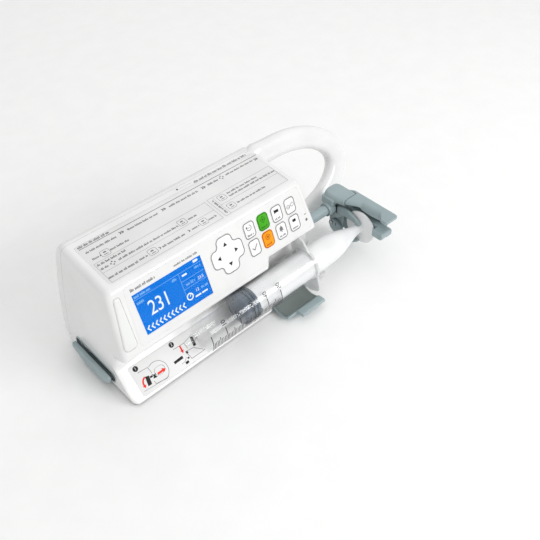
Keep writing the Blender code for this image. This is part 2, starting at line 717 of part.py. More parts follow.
def drive():
    wall = [(-80.0, 8.0), (84.0, 8.0), (84.0, 57.0), (81.6, 57.0), (81.6, 10.4), (-77.6, 10.4),
            (-77.6, 57.0), (-80.0, 57.0)]
    chassis = prism("drive_chassis", [wall], -65.5, -31.5, STEEL, rotation=UPRIGHT)
    join(chassis, cutter_box("motor_plate", (-80.0, 60.0, 8.0), (-77.6, 78.0, 57.0)))
    for name, y, z, radius in (("screw", SCREW_Y, SCREW_Z, 7.3), ("guide", ROD_Y, ROD_Z, ROD_R + GAP)):
        cut(chassis, rod("chassis_hole_" + name, radius, (-90.0, y, z), 180.0, group=CUTTERS))
    cut(chassis, cutter_box("chassis_tube_way", (75.0, 20.0, 28.0), (90.0, TUBE_Y + 8.0, 48.0)))
    centre = GEAR_MODULE * (SCREW_TEETH + MOTOR_TEETH) / 2 + 0.2
    motor_y = SCREW_Y + centre * math.cos(MOTOR_ANGLE)
    motor_z = SCREW_Z + centre * math.sin(MOTOR_ANGLE)
    cut(chassis, rod("chassis_hole_motor", 8.0, (-90.0, motor_y, motor_z), 20.0, group=CUTTERS))
    body = rounded_rectangle(20.0, 20.0, 2.0, (motor_y, motor_z), 2)
    motor = prism("stepper_motor", [body], -76.4, -46.0, BLACK, rotation=ACROSS)
    join(motor, rod("motor_shaft", 2.0, (-87.0, motor_y, motor_z), 12.0, group=CUTTERS, steps=12))
    half_tooth = math.pi / MOTOR_TEETH
    screw_phase = MOTOR_ANGLE
    motor_phase = MOTOR_ANGLE + math.pi + half_tooth
    prism("screw_gear", [gear_outline(SCREW_TEETH, screw_phase), circle((0.0, 0.0), 2.9 + GAP, 16)], *GEAR_X,
          ACETAL, (0.0, SCREW_Y, SCREW_Z), ACROSS)
    prism("motor_gear", [gear_outline(MOTOR_TEETH, motor_phase), circle((0.0, 0.0), 2.0 + GAP, 16)], *GEAR_X,
          BRASS, (0.0, motor_y, motor_z), ACROSS)
    screw = [(-88.5, 0.0), (-88.5, 2.9), (-73.0, 2.9), (-72.0, SCREW_R), (76.0, SCREW_R), (77.0, 2.9),
             (86.0, 2.9), (86.0, 0.0)]
    turned("lead_screw", screw, STEEL, (0.0, SCREW_Y, SCREW_Z))
    tube_piece("bearing_left", 7.0, 2.9 + GAP, (-80.8, SCREW_Y, SCREW_Z), 4.0, STEEL)
    tube_piece("bearing_right", 7.0, 2.9 + GAP, (80.8, SCREW_Y, SCREW_Z), 4.0, STEEL)
    rod("guide_rod", ROD_R, (-79.5, ROD_Y, ROD_Z), 163.0, STEEL)


def carriage():
    block = [(28.8, 25.6), (41.0, 25.6), (41.0, 16.4), (51.0, 16.4), (51.0, 33.6), (63.0, 33.6), (66.0, 36.0),
             (66.0, 57.0), (31.5, 57.0), (28.8, 42.0)]
    outlines = [block, circle((ROD_Y, ROD_Z), ROD_R + GAP), circle((TUBE_Y, TUBE_Z), TUBE_R + GAP)]
    piece = prism("carriage", outlines, -CARRIAGE_HALF, CARRIAGE_HALF, ACETAL, rotation=ACROSS)
    cut(piece, cutter_box("nut_pocket", (-5.8, 39.0, 10.0), (5.8, 53.0, 25.0)))
    cut(piece, rod("nut_pin_hole", 1.8, (-20.0, *NUT_PIVOT), 40.0, group=CUTTERS, steps=16))
    rod("nut_pin", 1.5, (-11.5, *NUT_PIVOT), 23.0, STEEL, steps=16)
    pivot_y, pivot_z = NUT_PIVOT
    arm = [(-3.6, -3.2), (17.0, -6.0), (17.0, 3.2)]
    groove = arc((SCREW_Y - pivot_y, SCREW_Z - pivot_z), SCREW_R + GAP, 322.0, 218.0, 8)
    arm += groove + [(3.0, 3.4), (-3.6, 3.4)]
    prism("half_nut", [arm, circle((0.0, 0.0), 1.5 + GAP, 16)], -5.4, 5.4, BRASS,
          (0.0, pivot_y, pivot_z), ACROSS)


# ---------------------------------------------------------------- pusher


def pusher():
    tube_piece("pusher_tube", TUBE_R, TUBE_BORE, (-10.0, TUBE_Y, TUBE_Z), 153.5, GREY)
    bush_x = half_width(TUBE_Z) - 3.0
    profile = [(0.0, TUBE_R + GAP), (0.0, 7.0), (4.2, 7.0), (4.2, 8.6), (5.8, 8.6), (5.8, TUBE_R + GAP)]
    turned("tube_bush", profile, GREY, (bush_x, TUBE_Y, TUBE_Z), ring=True)
    seat = [(43.0, 53.2, 4.0), (19.0, 53.2, 4.0), (19.0, 40.5, 3.0), (10.0, 40.5, 8.0), (-4.0, 38.5, 10.0),
            (-10.5, 38.6, 2.0), (-25.0, 38.6, 2.0), (-25.0, 31.8, 3.0), (-11.5, 27.0, 3.0), (-6.0, 14.0, 11.0),
            (8.0, 12.0, 12.0), (26.0, 13.0, 8.0), (43.0, 24.0, 8.0)]
    head = prism("pusher_head", [rounded_outline(seat)], *HEAD_X, GREY, rotation=ACROSS)
    block = rounded_outline([(21.0, 48.4, 1.5), (43.0, 48.4, 1.5), (43.0, 53.2, 3.0), (21.0, 53.2, 3.0)])
    join(head, prism("head_block", [block], 141.0, 156.0, rotation=ACROSS, group=CUTTERS))
    post = rounded_outline([(23.2, 24.0, 2.0), (42.0, 24.0, 4.0), (42.0, 46.0, 1.0), (23.2, 46.0, 1.0)])
    join(head, prism("claw_post", [post], 149.8, 155.0, rotation=ACROSS, group=CUTTERS))
    low_post = rounded_outline([(23.2, 14.2, 2.0), (40.0, 14.2, 3.0), (40.0, 26.0, 1.0), (23.2, 26.0, 1.0)])
    join(head, prism("low_claw_post", [low_post], 149.8, 155.0, rotation=ACROSS, group=CUTTERS))
    join(head, rod("head_boss", 9.2, (136.0, TUBE_Y, TUBE_Z), 9.4, group=CUTTERS))
    riser = box_outline(27.0, 42.0, 43.0, 50.0)
    join(head, prism("boss_riser", [riser], 138.5, 145.4, rotation=ACROSS, group=CUTTERS))
    back = box_outline(38.5, 30.0, 43.0, 50.0)
    join(head, prism("boss_back", [back], 141.0, 156.0, rotation=ACROSS, group=CUTTERS))
    tab = rounded_outline([(-25.0, 31.8, 2.0), (-13.4, 31.8, 1.0), (-13.4, 38.6, 1.0), (-25.0, 38.6, 2.0)])
    join(head, prism("finger_tab", [tab], 146.5, 156.0, rotation=ACROSS, group=CUTTERS))
    cut(head, rod("tube_socket", TUBE_R + GAP, (130.0, TUBE_Y, TUBE_Z), 14.0, group=CUTTERS))
    cut(head, rod("rod_way", 3.3, (140.0, TUBE_Y, TUBE_Z), 40.0, group=CUTTERS))
    for name, (y, z) in CLAW_PIVOTS.items():
        cut(head, rod(f"{name}_claw_pin_hole", 1.8, (145.0, y, z), 8.4, group=CUTTERS, steps=16))
        rod(f"{name}_claw_pin", 1.5, (145.6, y, z), 7.4, STEEL, steps=16)


def claws():
    """Two crescent fingers that hook over the plunger's disc."""
    hook = [(26.6, 28.2, 3.0), (20.0, 34.6, 6.0), (11.5, 34.6, 8.0), (2.0, 33.2, 0.8), (-0.6, 33.4, 1.0),
            (6.0, 39.6, 8.0), (16.0, 44.4, 8.0)]
    hub = [(32.0, 26.6, 3.0)]
    above = [(26.2, 43.6, 4.0), (28.6, 41.0, 2.0), (28.9, 34.6, 0.6), (36.2, 34.6, 2.5), (37.6, 30.4, 3.0)]
    below = [(26.5, 43.4, 6.0), (35.0, 38.0, 5.0), (38.2, 30.6, 4.0)]
    middle = sum(z for _, z in CLAW_PIVOTS.values()) / 2
    lower = [(y, 2 * middle - z, r) for y, z, r in hub + hook + below]
    shapes = {"upper": list(reversed(hub + hook + above)), "lower": lower}
    for name, corners in shapes.items():
        pivot_y, pivot_z = CLAW_PIVOTS[name]
        local = [(y - pivot_y, z - pivot_z, r) for y, z, r in corners]
        outline = rounded_outline(local, steps=3)
        hole = circle((0.0, 0.0), 1.5 + GAP, 16)
        prism(name + "_claw", [outline, hole], *CLAW_X, GREY, (0.0, pivot_y, pivot_z), ACROSS)


def clutch():
    """The wing over the head, its side plate and the rod that it turns inside the tube."""
    wing = rounded_outline([(-62.0, 12.4, 1.5), (-16.0, 12.4, 1.5), (-16.0, 15.6, 1.5), (-62.0, 15.6, 1.5)])
    lever = prism("clutch_lever", [wing], 145.0, 163.8, GREY, (0.0, TUBE_Y, TUBE_Z), ACROSS)
    plate = [(-61.0, 11.0, 2.0), (-30.0, 6.5, 6.0), (-12.0, -3.0, 6.0), (0.0, -8.5, 8.0), (8.0, -2.0, 7.0),
             (6.0, 8.0, 7.0), (-12.0, 15.6, 6.0), (-61.0, 15.6, 2.0)]
    side = prism("clutch_side", [rounded_outline(plate)], 161.2, 163.8, at=(0.0, TUBE_Y, TUBE_Z),
                 rotation=ACROSS, group=CUTTERS)
    join(lever, side)
    cut(lever, rod("lever_rod_hole", 3.0, (160.0, TUBE_Y, TUBE_Z), 8.0, group=CUTTERS))
    rod("clutch_rod", 2.7, (-14.0, TUBE_Y, TUBE_Z), 177.0, STEEL)


# ---------------------------------------------------------------- syringe, clamp and dock lever


def syringe():
    axis = (0.0, SYRINGE_Y, SYRINGE_Z)
    low, high = BARREL_X
    profile = [(low - 11.0, 1.0), (low - 11.0, 2.0), (low - 1.5, 2.6), (low - 1.2, 7.0), (low + 2.4, BARREL_R),
               (high, BARREL_R), (high, BORE_R), (low + 3.6, BORE_R), (low + 0.8, 3.4), (low, 1.0)]
    barrel = turned("syringe_barrel", profile, CLEAR, axis, steps=40, ring=True)
    wings = prism("flange_wings", [flange_outline(FLANGE_REACH, 7.5)], *FLANGE_X, rotation=ACROSS, group=CUTTERS)
    bore = rod("flange_bore", BORE_R, (FLANGE_X[0] - 0.5, SYRINGE_Y, SYRINGE_Z), 6.0, group=CUTTERS, steps=40)
    join(barrel, cut(wings, bore))
    low, high = STOPPER_X
    stopper = [(low - 3.0, 0.0), (low, 13.4), (low + 1.5, 14.3), (low + 4.5, 14.3), (low + 5.5, 13.2),
               (low + 10.0, 13.2), (low + 11.0, 14.3), (low + 13.5, 14.3), (low + 14.5, 13.2),
               (high - 3.0, 13.2), (high - 2.0, 14.3), (high, 14.3), (high, 0.0)]
    turned("syringe_stopper", stopper, RUBBER, axis, steps=32)
    plunger = [(high + GAP, 0.0), (high + GAP, 13.4), (high + 3.0, 13.4), (90.0, 13.2), (112.0, 11.8),
               (130.0, 8.6), (142.0, 5.2), (147.0, 4.3), (DISC_X[0] - 0.3, 4.3), (DISC_X[0], DISC_R - 0.6),
               (DISC_X[0] + 0.8, DISC_R), (DISC_X[1] - 0.6, DISC_R), (DISC_X[1], DISC_R - 0.8), (DISC_X[1], 0.0)]
    turned("syringe_plunger", plunger, CLEAR, axis, steps=32)


def barrel_clamp():
    """The clamp arm, drawn open: its saddle is an arc about the syringe's axis turned back open."""
    hinge_y, hinge_z = CLAMP_HINGE
    arm = Matrix.Rotation(CLAMP_OPEN, 2) @ Vector((SYRINGE_Y - hinge_y, SYRINGE_Z - hinge_z))
    centre = (arm.x, arm.y)
    band = arc(centre, 17.4, 240.0, 322.0, 10)
    band += arc((0.0, 0.0), 3.4, 75.0, -90.0, 8)
    band += arc(centre, 19.9, 300.0, 242.0, 8)
    clamp = prism("barrel_clamp", [list(reversed(band))], *CLAMP_X, GREY, (0.0, hinge_y, hinge_z), ACROSS)
    tip = Vector(arc(centre, 17.4, 240.0, 240.0, 1)[0])
    corners = [(tip.x - 8.0, tip.y - 1.4, 1.2), (tip.x + 2.5, tip.y - 2.2, 0.6), (tip.x + 1.6, tip.y - 0.4, 0.4),
               (tip.x - 1.0, tip.y + 1.6, 1.0), (tip.x - 8.0, tip.y + 2.2, 1.2)]
    lip = prism("clamp_lip", [rounded_outline(corners)], *CLAMP_LIP_X, at=(0.0, hinge_y, hinge_z),
                rotation=ACROSS, group=CUTTERS)
    join(clamp, lip)
    cut(clamp, rod("clamp_bore", 1.8, (30.0, hinge_y, hinge_z), 60.0, group=CUTTERS, steps=16))
    pad = arc(centre, 16.5, 250.0, 300.0, 6) + arc(centre, 17.1, 300.0, 250.0, 6)
    prism("clamp_pad", [list(reversed(pad))], 52.0, 72.0, RUBBER, (0.0, hinge_y, hinge_z), ACROSS)
    rod("clamp_pin", 1.5, (32.0, hinge_y, hinge_z), 46.4, STEEL, steps=16)


def dock_lever():
    """The release lever on the left end: a paddle on a web, hinged on a pin along Y."""
    origin = (LEVER_HINGE_X, 0.0, LEVER_HINGE_Z)
    outline = [(a, b - LEVER_HINGE_Z) for a, b in lever_outline()]
    low, high = -110.6 - LEVER_HINGE_X, -106.4 - LEVER_HINGE_X
    lever = prism("dock_lever", [outline], low, high, GREY, origin, ACROSS)
    join(lever, box("lever_web", (high - 1.0, 38.0, -1.8), (0.0, 64.0, 1.8), group=CUTTERS, at=origin))
    join(lever, rod("lever_knuckle", 2.8, (LEVER_HINGE_X, 38.0, LEVER_HINGE_Z), 26.0, group=CUTTERS, steps=16,
                    rotation=ALONG_Y))
    cut(lever, rod("lever_bore", 1.5, (LEVER_HINGE_X, 30.0, LEVER_HINGE_Z), 40.0, group=CUTTERS, steps=16,
                   rotation=ALONG_Y))
    rod("dock_lever_pin", 1.2, (LEVER_HINGE_X, 27.0, LEVER_HINGE_Z), 48.0, STEEL, steps=12, rotation=ALONG_Y)


def main():
    cavity = case_cavity("case_cavity")
    tools = case_cutters()
    front_case(cavity, tools)
    rear_case(cavity)
    base_cover()
    carry_handle(case_skin("case_clearance", GAP))
    feet()
    controls()
    power()
    drive()
    carriage()
    pusher()
    claws()
    clutch()
    syringe()
    barrel_clamp()
    dock_lever()


main()
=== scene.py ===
import json
import math
import random

import bmesh
import bpy
from mathutils import Matrix, Vector

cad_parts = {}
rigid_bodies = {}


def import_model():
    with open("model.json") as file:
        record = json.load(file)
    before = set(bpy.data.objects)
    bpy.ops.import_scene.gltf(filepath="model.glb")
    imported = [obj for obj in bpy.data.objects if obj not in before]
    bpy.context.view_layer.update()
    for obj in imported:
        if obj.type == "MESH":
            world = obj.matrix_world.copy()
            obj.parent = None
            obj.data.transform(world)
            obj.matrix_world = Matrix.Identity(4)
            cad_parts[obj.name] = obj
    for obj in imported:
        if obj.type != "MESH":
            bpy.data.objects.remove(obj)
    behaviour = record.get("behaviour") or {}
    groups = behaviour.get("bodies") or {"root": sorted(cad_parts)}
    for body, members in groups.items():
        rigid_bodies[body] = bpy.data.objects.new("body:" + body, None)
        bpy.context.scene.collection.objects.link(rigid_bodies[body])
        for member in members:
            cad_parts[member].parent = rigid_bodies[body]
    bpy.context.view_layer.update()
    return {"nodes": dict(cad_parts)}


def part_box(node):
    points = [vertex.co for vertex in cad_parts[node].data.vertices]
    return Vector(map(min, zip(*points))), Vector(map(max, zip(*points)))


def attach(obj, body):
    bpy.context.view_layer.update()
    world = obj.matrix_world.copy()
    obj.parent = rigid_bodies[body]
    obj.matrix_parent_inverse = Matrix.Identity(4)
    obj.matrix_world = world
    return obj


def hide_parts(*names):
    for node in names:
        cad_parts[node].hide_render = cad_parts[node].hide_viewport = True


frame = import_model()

# The syringe pump's looks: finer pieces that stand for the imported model's outer nodes, better
# materials on the nodes that stay, and a pale studio. Every piece rides on a body of the model.
#
# Lengths are millimetres in the pump's own frame: X along the syringe from its nozzle to its
# plunger, Y from the front rim to the back, Z up from the table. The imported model's frame has
# the same directions, in metres, with its origin under the middle of the whole pump.
MM = 0.001
GAP = 0.3  # between a moving piece and its opening
SEAM = 0.08  # between two fixed pieces
COVER_LOW = (-93.5, 28.9)  # the base cover's low corner, which ties the two frames together

packed_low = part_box("base_cover")[0]
ORIGIN = Vector((packed_low[0] - COVER_LOW[0] * MM, packed_low[1] - COVER_LOW[1] * MM, 0.0))

# Case, as in the CAD
HEIGHT = 101.0
BASE_HALF = 105.5
LEAN = 11.5
LEAN_POWER = 1.6
WALL = 2.8
LEFT_ROUNDING = 5.0
RIGHT_ROUNDING = 3.0
SPLIT_Y = 88.0
BASE_Z = 2.0
HALF_SECTION = 50.0  # about half the section's height and depth
PANEL_AT = (26.1, 85.0)  # Y and Z of the front panel's origin
PANEL_LEAN = math.radians(23.14)
TOP_AT = (30.6, 95.5)  # Y and Z of the top's front edge
TOP_SLOPE = math.radians(4.44)
SLOPE = math.radians(42.0)  # of the cradle
SLOPE_Z = 3.64
BAY_X = 38.7  # where the open bay on the right starts
STEP_X = 42.0  # where the panel's lower edge steps up

# Controls
DISPLAY = (-77.4, -14.4, 0.0, 34.2)  # left, right, top and bottom on the panel
KEY_X = 34.8
KEY_PITCH_X = 14.96
KEY_V = 3.96
KEY_PITCH_V = 15.79
KEY_SIZE = (11.7, 14.4)
ARROW = (9.0, 12.0)
ARROW_REACH = 16.2
ARROW_WIDTH = 16.2
KEY_TOP = 0.35  # how far keys stand out of the panel
KEY_RING = (-0.22, -0.97)  # the two edges of the line printed round a key, inside its outline

# Syringe and drive
AXIS = (3.7, 28.6)  # Y and Z of the syringe
BARREL_R = 15.8
BORE_R = 14.6
BARREL_LEFT = -39.6
ZERO_ML_X = -36.8
ML_PITCH = 1.468
INK_LIFT = 0.06
TUBE = (35.1, 37.75)  # Y and Z of the pusher's tube
WING_TOP = 53.4
CLAMP_HINGE = (8.0, 6.8)  # Y and Z
CLAMP_OPEN = math.radians(35.0)  # how far open the clamp hangs at rest
LEVER_HINGE = (-101.5, 8.6)  # X and Z

# Camera: where the photograph was taken from
CAMERA_AT = (-241.9, -290.96, 445.71)
CAMERA_YAW = 43.5
CAMERA_DOWN = 44.1
LENS_MM = 46.51
LENS_SHIFT = -2 / 540

# Light: the world's strength, then each soft box's place and size in metres and its power in watts
WORLD_LIGHT = 0.68
LAMPS = {
    "key": ((0.60, 0.80, 1.10), 1.0, 1.0, 1.6),
    "top": ((-0.1, 0.1, 1.4), 1.4, 1.4, 1.9),
    "front": ((0.45, -1.05, 0.72), 0.75, 0.50, 7.4),
}
LIT_SPOT = (0.0, 0.0, 0.04)
FLOOR_HALF = 3.0


def point(x, y, z):
    return Vector((x, y, z)) * MM + ORIGIN


def placed(origin, rotation):
    """The matrix from a plane's own millimetres to the model's metres."""
    return Matrix.Translation(point(*origin)) @ rotation.to_4x4() @ Matrix.Scale(MM, 4)


def turned_about_x(angle):
    return Matrix.Rotation(angle, 3, "X")


# The planes that outlines are drawn on: FLAT is the floor, ACROSS is Y and Z, SECTION is X and Z,
# and REAR is the back as seen from behind.
QUARTER = math.pi / 2
FLAT = placed((0.0, 0.0, 0.0), Matrix.Identity(3))
ACROSS = placed((0.0, 0.0, 0.0), Matrix(((0, 0, 1), (1, 0, 0), (0, 1, 0))))
SECTION = placed((0.0, 0.0, 0.0), Matrix(((1, 0, 0), (0, 0, -1), (0, 1, 0))))
REAR = placed((0.0, 0.0, 0.0), Matrix(((-1, 0, 0), (0, 0, 1), (0, 1, 0))))
PANEL = placed((0.0, *PANEL_AT), turned_about_x(QUARTER - PANEL_LEAN))
TOP = placed((0.0, *TOP_AT), turned_about_x(TOP_SLOPE))
CRADLE = placed((0.0, 0.0, SLOPE_Z), turned_about_x(SLOPE))


# ---------------------------------------------------------------- materials

RELIEF_DEPTH = 0.0004


def socket(node, name, value):
    node.inputs[name].default_value = value


def noise_node(nodes, scale, detail, place):
    made = nodes.new("ShaderNodeTexNoise")
    socket(made, "Scale", scale)
    socket(made, "Detail", detail)
    made.location = place
    return made


def ramp_node(nodes, low, high, place):
    made = nodes.new("ShaderNodeValToRGB")
    made.color_ramp.elements[0].position = 0.35
    made.color_ramp.elements[0].color = (*low, 1.0)
    made.color_ramp.elements[1].position = 0.65
    made.color_ramp.elements[1].color = (*high, 1.0)
    made.location = place
    return made


def moulded(name, low, high, rough, grain=900.0, relief=0.02, **sockets):
    """A moulded surface: faint cloudy colour, uneven gloss and a fine grain in relief."""
    made = bpy.data.materials.new(name)
    made.use_nodes = True
    nodes, links = made.node_tree.nodes, made.node_tree.links
    shader = nodes["Principled BSDF"]
    where = nodes.new("ShaderNodeTexCoord")
    where.location = (-1100, 0)
    cloud = noise_node(nodes, 38.0, 3.0, (-850, 200))
    colour = ramp_node(nodes, low, high, (-600, 250))
    wear = noise_node(nodes, 140.0, 4.0, (-850, -50))
    gloss = nodes.new("ShaderNodeMapRange")
    socket(gloss, "To Min", rough[0])
    socket(gloss, "To Max", rough[1])
    gloss.location = (-600, 0)
    fine = noise_node(nodes, grain, 2.0, (-850, -300))
    bump = nodes.new("ShaderNodeBump")
    socket(bump, "Strength", relief)
    socket(bump, "Distance", RELIEF_DEPTH)
    bump.location = (-300, -250)
    for texture in (cloud, wear, fine):
        links.new(where.outputs["Object"], texture.inputs["Vector"])
    links.new(cloud.outputs["Fac"], colour.inputs["Fac"])
    links.new(colour.outputs["Color"], shader.inputs["Base Color"])
    links.new(wear.outputs["Fac"], gloss.inputs["Value"])
    links.new(gloss.outputs["Result"], shader.inputs["Roughness"])
    links.new(fine.outputs["Fac"], bump.inputs["Height"])
    links.new(bump.outputs["Normal"], shader.inputs["Normal"])
    for key, value in sockets.items():
        socket(shader, key.replace("_", " "), value)
    return made


def brushed(name, low, high, rough, stretch):
    """Bare metal with fine lines drawn out along one direction."""
    made = moulded(name, low, high, rough, 500.0, 0.05, Metallic=1.0)
    nodes, links = made.node_tree.nodes, made.node_tree.links
    where = next(node for node in nodes if node.type == "TEX_COORD")
    lay = nodes.new("ShaderNodeMapping")
    socket(lay, "Scale", stretch)
    links.new(where.outputs["Object"], lay.inputs["Vector"])
    for node in nodes:
        if node.type == "TEX_NOISE":
            links.new(lay.outputs["Vector"], node.inputs["Vector"])
    return made


def lit(name, low, high, strength):
    """A glowing display surface with a faintly uneven backlight."""
    made = moulded(name, low, high, (0.5, 0.6), 600.0, 0.0, Specular_IOR_Level=0.0)
    nodes, links = made.node_tree.nodes, made.node_tree.links
    shader = nodes["Principled BSDF"]
    links.remove(shader.inputs["Base Color"].links[0])
    socket(shader, "Base Color", (0.004, 0.008, 0.016, 1.0))
    ramp = next(node for node in nodes if node.type == "VALTORGB")
    links.new(ramp.outputs["Color"], shader.inputs["Emission Color"])
    socket(shader, "Emission Strength", strength)
    return made


def clear(name, low, high, facing, grazing, rough):
    """Thin clear plastic: see-through face on, a mirror sheen that grows towards its edges."""
    made = moulded(name, low, high, rough, 300.0, 0.0, Metallic=1.0)
    nodes, links = made.node_tree.nodes, made.node_tree.links
    edge = nodes.new("ShaderNodeLayerWeight")
    socket(edge, "Blend", 0.32)
    amount = nodes.new("ShaderNodeMapRange")
    socket(amount, "To Min", facing)
    socket(amount, "To Max", grazing)
    links.new(edge.outputs["Facing"], amount.inputs["Value"])
    links.new(amount.outputs["Result"], nodes["Principled BSDF"].inputs["Alpha"])
    return made


def coloured_key(name, low, high):
    return moulded(name, low, high, (0.28, 0.36), 1200.0, 0.015, Specular_IOR_Level=0.25)


def ink(name, low, high, rough=(0.42, 0.52)):
    return moulded(name, low, high, rough, 900.0, 0.01, Specular_IOR_Level=0.15)


# Each one's two colours, its least and most roughness, and the scale and depth of its grain
WHITE = moulded("white_gloss", (0.80, 0.80, 0.795), (0.84, 0.84, 0.835), (0.18, 0.26), 700.0, 0.01,
                Coat_Weight=0.25, Coat_Roughness=0.12)
FILM = moulded("film_satin", (0.78, 0.78, 0.775), (0.82, 0.82, 0.815), (0.32, 0.42), 1500.0, 0.02)
CRADLE_FILM = moulded("cradle_film", (0.80, 0.80, 0.80), (0.85, 0.85, 0.845), (0.3, 0.4), 1300.0, 0.02)
LABEL = moulded("label_film", (0.76, 0.76, 0.76), (0.81, 0.81, 0.805), (0.35, 0.45), 1300.0, 0.02)
KEY_WHITE = moulded("key_film_white", (0.86, 0.86, 0.86), (0.90, 0.90, 0.90), (0.26, 0.34), 1200.0, 0.015)
KEY_GREEN = coloured_key("key_film_green", (0.050, 0.38, 0.004), (0.065, 0.44, 0.008))
KEY_ORANGE = coloured_key("key_film_orange", (0.95, 0.31, 0.0), (1.0, 0.37, 0.002))
GREY = moulded("grey_blue_moulding", (0.285, 0.360, 0.376), (0.33, 0.41, 0.425), (0.34, 0.46), 1700.0, 0.06)
# Dark grey for the plate behind the dock lever's paddle: painted shade in the gap round the paddle.
GAP_SHADE_GREY = moulded("grey_inside", (0.085, 0.105, 0.105), (0.11, 0.135, 0.135), (0.4, 0.5), 1500.0, 0.05)
BLACK = moulded("black_moulding", (0.012, 0.012, 0.013), (0.022, 0.022, 0.024), (0.42, 0.55), 1500.0, 0.08)
RUBBER = moulded("foot_rubber", (0.016, 0.016, 0.017), (0.03, 0.03, 0.031), (0.62, 0.8), 1100.0, 0.12)
STOPPER = moulded("stopper_rubber", (0.062, 0.088, 0.120), (0.085, 0.118, 0.158), (0.22, 0.36), 700.0, 0.03)
INK = ink("ink_black", (0.012, 0.012, 0.013), (0.02, 0.02, 0.021))
INK_GREY = ink("ink_grey", (0.15, 0.15, 0.15), (0.20, 0.20, 0.20))
INK_PALE = ink("ink_pale", (0.36, 0.36, 0.36), (0.42, 0.42, 0.42))
INK_SCALE = ink("ink_scale", (0.045, 0.045, 0.05), (0.06, 0.06, 0.065))
INK_RED = ink("ink_red", (0.80, 0.016, 0.008), (0.88, 0.03, 0.014), (0.4, 0.5))
INK_GREEN = ink("ink_dark_green", (0.018, 0.15, 0.004), (0.024, 0.18, 0.006), (0.4, 0.5))
INK_ORANGE = ink("ink_dark_orange", (0.42, 0.09, 0.0), (0.5, 0.12, 0.001), (0.4, 0.5))
SCREEN_BLUE = lit("screen_blue", (0.0, 0.180, 0.76), (0.0, 0.205, 0.82), 0.98)
SCREEN_EDGE = lit("screen_edge", (0.0, 0.025, 0.085), (0.0, 0.035, 0.11), 0.5)
SCREEN_WHITE = lit("screen_white", (0.84, 0.95, 1.0), (0.92, 0.98, 1.0), 1.0)
SCREEN_PALE = lit("screen_pale", (0.22, 0.52, 0.95), (0.28, 0.60, 1.0), 0.9)
WINDOW = clear("window_clear", (0.90, 0.95, 1.0), (1.0, 1.0, 1.0), 0.001, 0.05, (0.05, 0.1))
BARREL = clear("barrel_clear", (0.90, 0.92, 0.93), (0.96, 0.97, 0.98), 0.035, 0.22, (0.10, 0.14))
BARREL_FROST = moulded("flange_frosted", (0.80, 0.82, 0.82), (0.88, 0.89, 0.89), (0.12, 0.22), 400.0, 0.01,
                       Alpha=0.55)
PLUNGER = moulded("plunger_milky", (0.80, 0.81, 0.815), (0.87, 0.875, 0.88), (0.2, 0.3), 500.0, 0.01)
FLOOR = moulded("floor_paper", (0.96, 0.96, 0.955), (0.98, 0.98, 0.975), (0.5, 0.6), 30.0, 0.0)
LINER = moulded("clamp_lining", (0.19, 0.22, 0.21), (0.22, 0.255, 0.245), (0.5, 0.6), 1500.0, 0.06)
LENS = moulded("lamp_lens", (0.78, 0.79, 0.775), (0.83, 0.84, 0.825), (0.22, 0.3), 350.0, 0.01)
STEEL = brushed("steel_drawn", (0.42, 0.43, 0.45), (0.58, 0.59, 0.61), (0.22, 0.38), (0.06, 1.0, 1.0))
BRASS = brushed("brass_cut", (0.58, 0.40, 0.16), (0.70, 0.52, 0.24), (0.25, 0.4), (1.0, 0.1, 1.0))
BOARD = moulded("board_green", (0.010, 0.13, 0.045), (0.018, 0.19, 0.07), (0.35, 0.5), 260.0, 0.2)
ACETAL = moulded("acetal_ivory", (0.72, 0.70, 0.62), (0.80, 0.78, 0.70), (0.35, 0.5), 800.0, 0.05)
BATTERY = moulded("battery_wrap", (0.035, 0.06, 0.20), (0.06, 0.10, 0.28), (0.3, 0.45), 120.0, 0.2)


# ---------------------------------------------------------------- outlines


def line_crossing(first, first_way, second, second_way):
    det = first_way.x * second_way.y - first_way.y * second_way.x
    if abs(det) < 1e-9:
        return second.copy()
    apart = second - first
    return first + first_way * ((apart.x * second_way.y - apart.y * second_way.x) / det)


def rounded_outline(corners, steps=8, grow=0.0):
    """Points of a closed anticlockwise outline from (a, b, radius) corners, moved out by grow."""
    places = [Vector((a, b)) for a, b, _ in corners]
    count = len(places)
    sides = []
    for i in range(count):
        way = (places[(i + 1) % count] - places[i]).normalized()
        out = Vector((way.y, -way.x))
        sides.append((places[i] + out * grow, way))
    points = []
    for i in range(count):
        before, after = sides[i - 1], sides[i]
        corner = line_crossing(before[0], before[1], after[0], after[1])
        cross = before[1].x * after[1].y - before[1].y * after[1].x
        turn = math.atan2(cross, before[1].dot(after[1]))
        radius = max(corners[i][2] + (grow if turn > 0 else -grow), 0.05)
        start = corner - before[1] * radius * math.tan(abs(turn) / 2)
        inward = Vector((-before[1].y, before[1].x)) * (1.0 if turn > 0 else -1.0)
        centre = start + inward * radius
        for k in range(steps + 1):
            points.append(centre + Matrix.Rotation(turn * k / steps, 2) @ (start - centre))
    return [(p.x, p.y) for p in points]


def rounded_rectangle(width, height, radius, at=(0.0, 0.0), steps=6, grow=0.0):
    a, b = width / 2, height / 2
    corners = [(-a, -b, radius), (a, -b, radius), (a, b, radius), (-a, b, radius)]
    return rounded_outline([(x + at[0], y + at[1], r) for x, y, r in corners], steps, grow)


def bar(x, y, width, height, turn=0.0):
    """A plain rectangle from its left end's middle, turned about that point."""
    spots = ((0.0, -height / 2), (width, -height / 2), (width, height / 2), (0.0, height / 2))
    placed_spots = [Matrix.Rotation(turn, 2) @ Vector(spot) for spot in spots]
    return [(x + spot.x, y + spot.y) for spot in placed_spots]


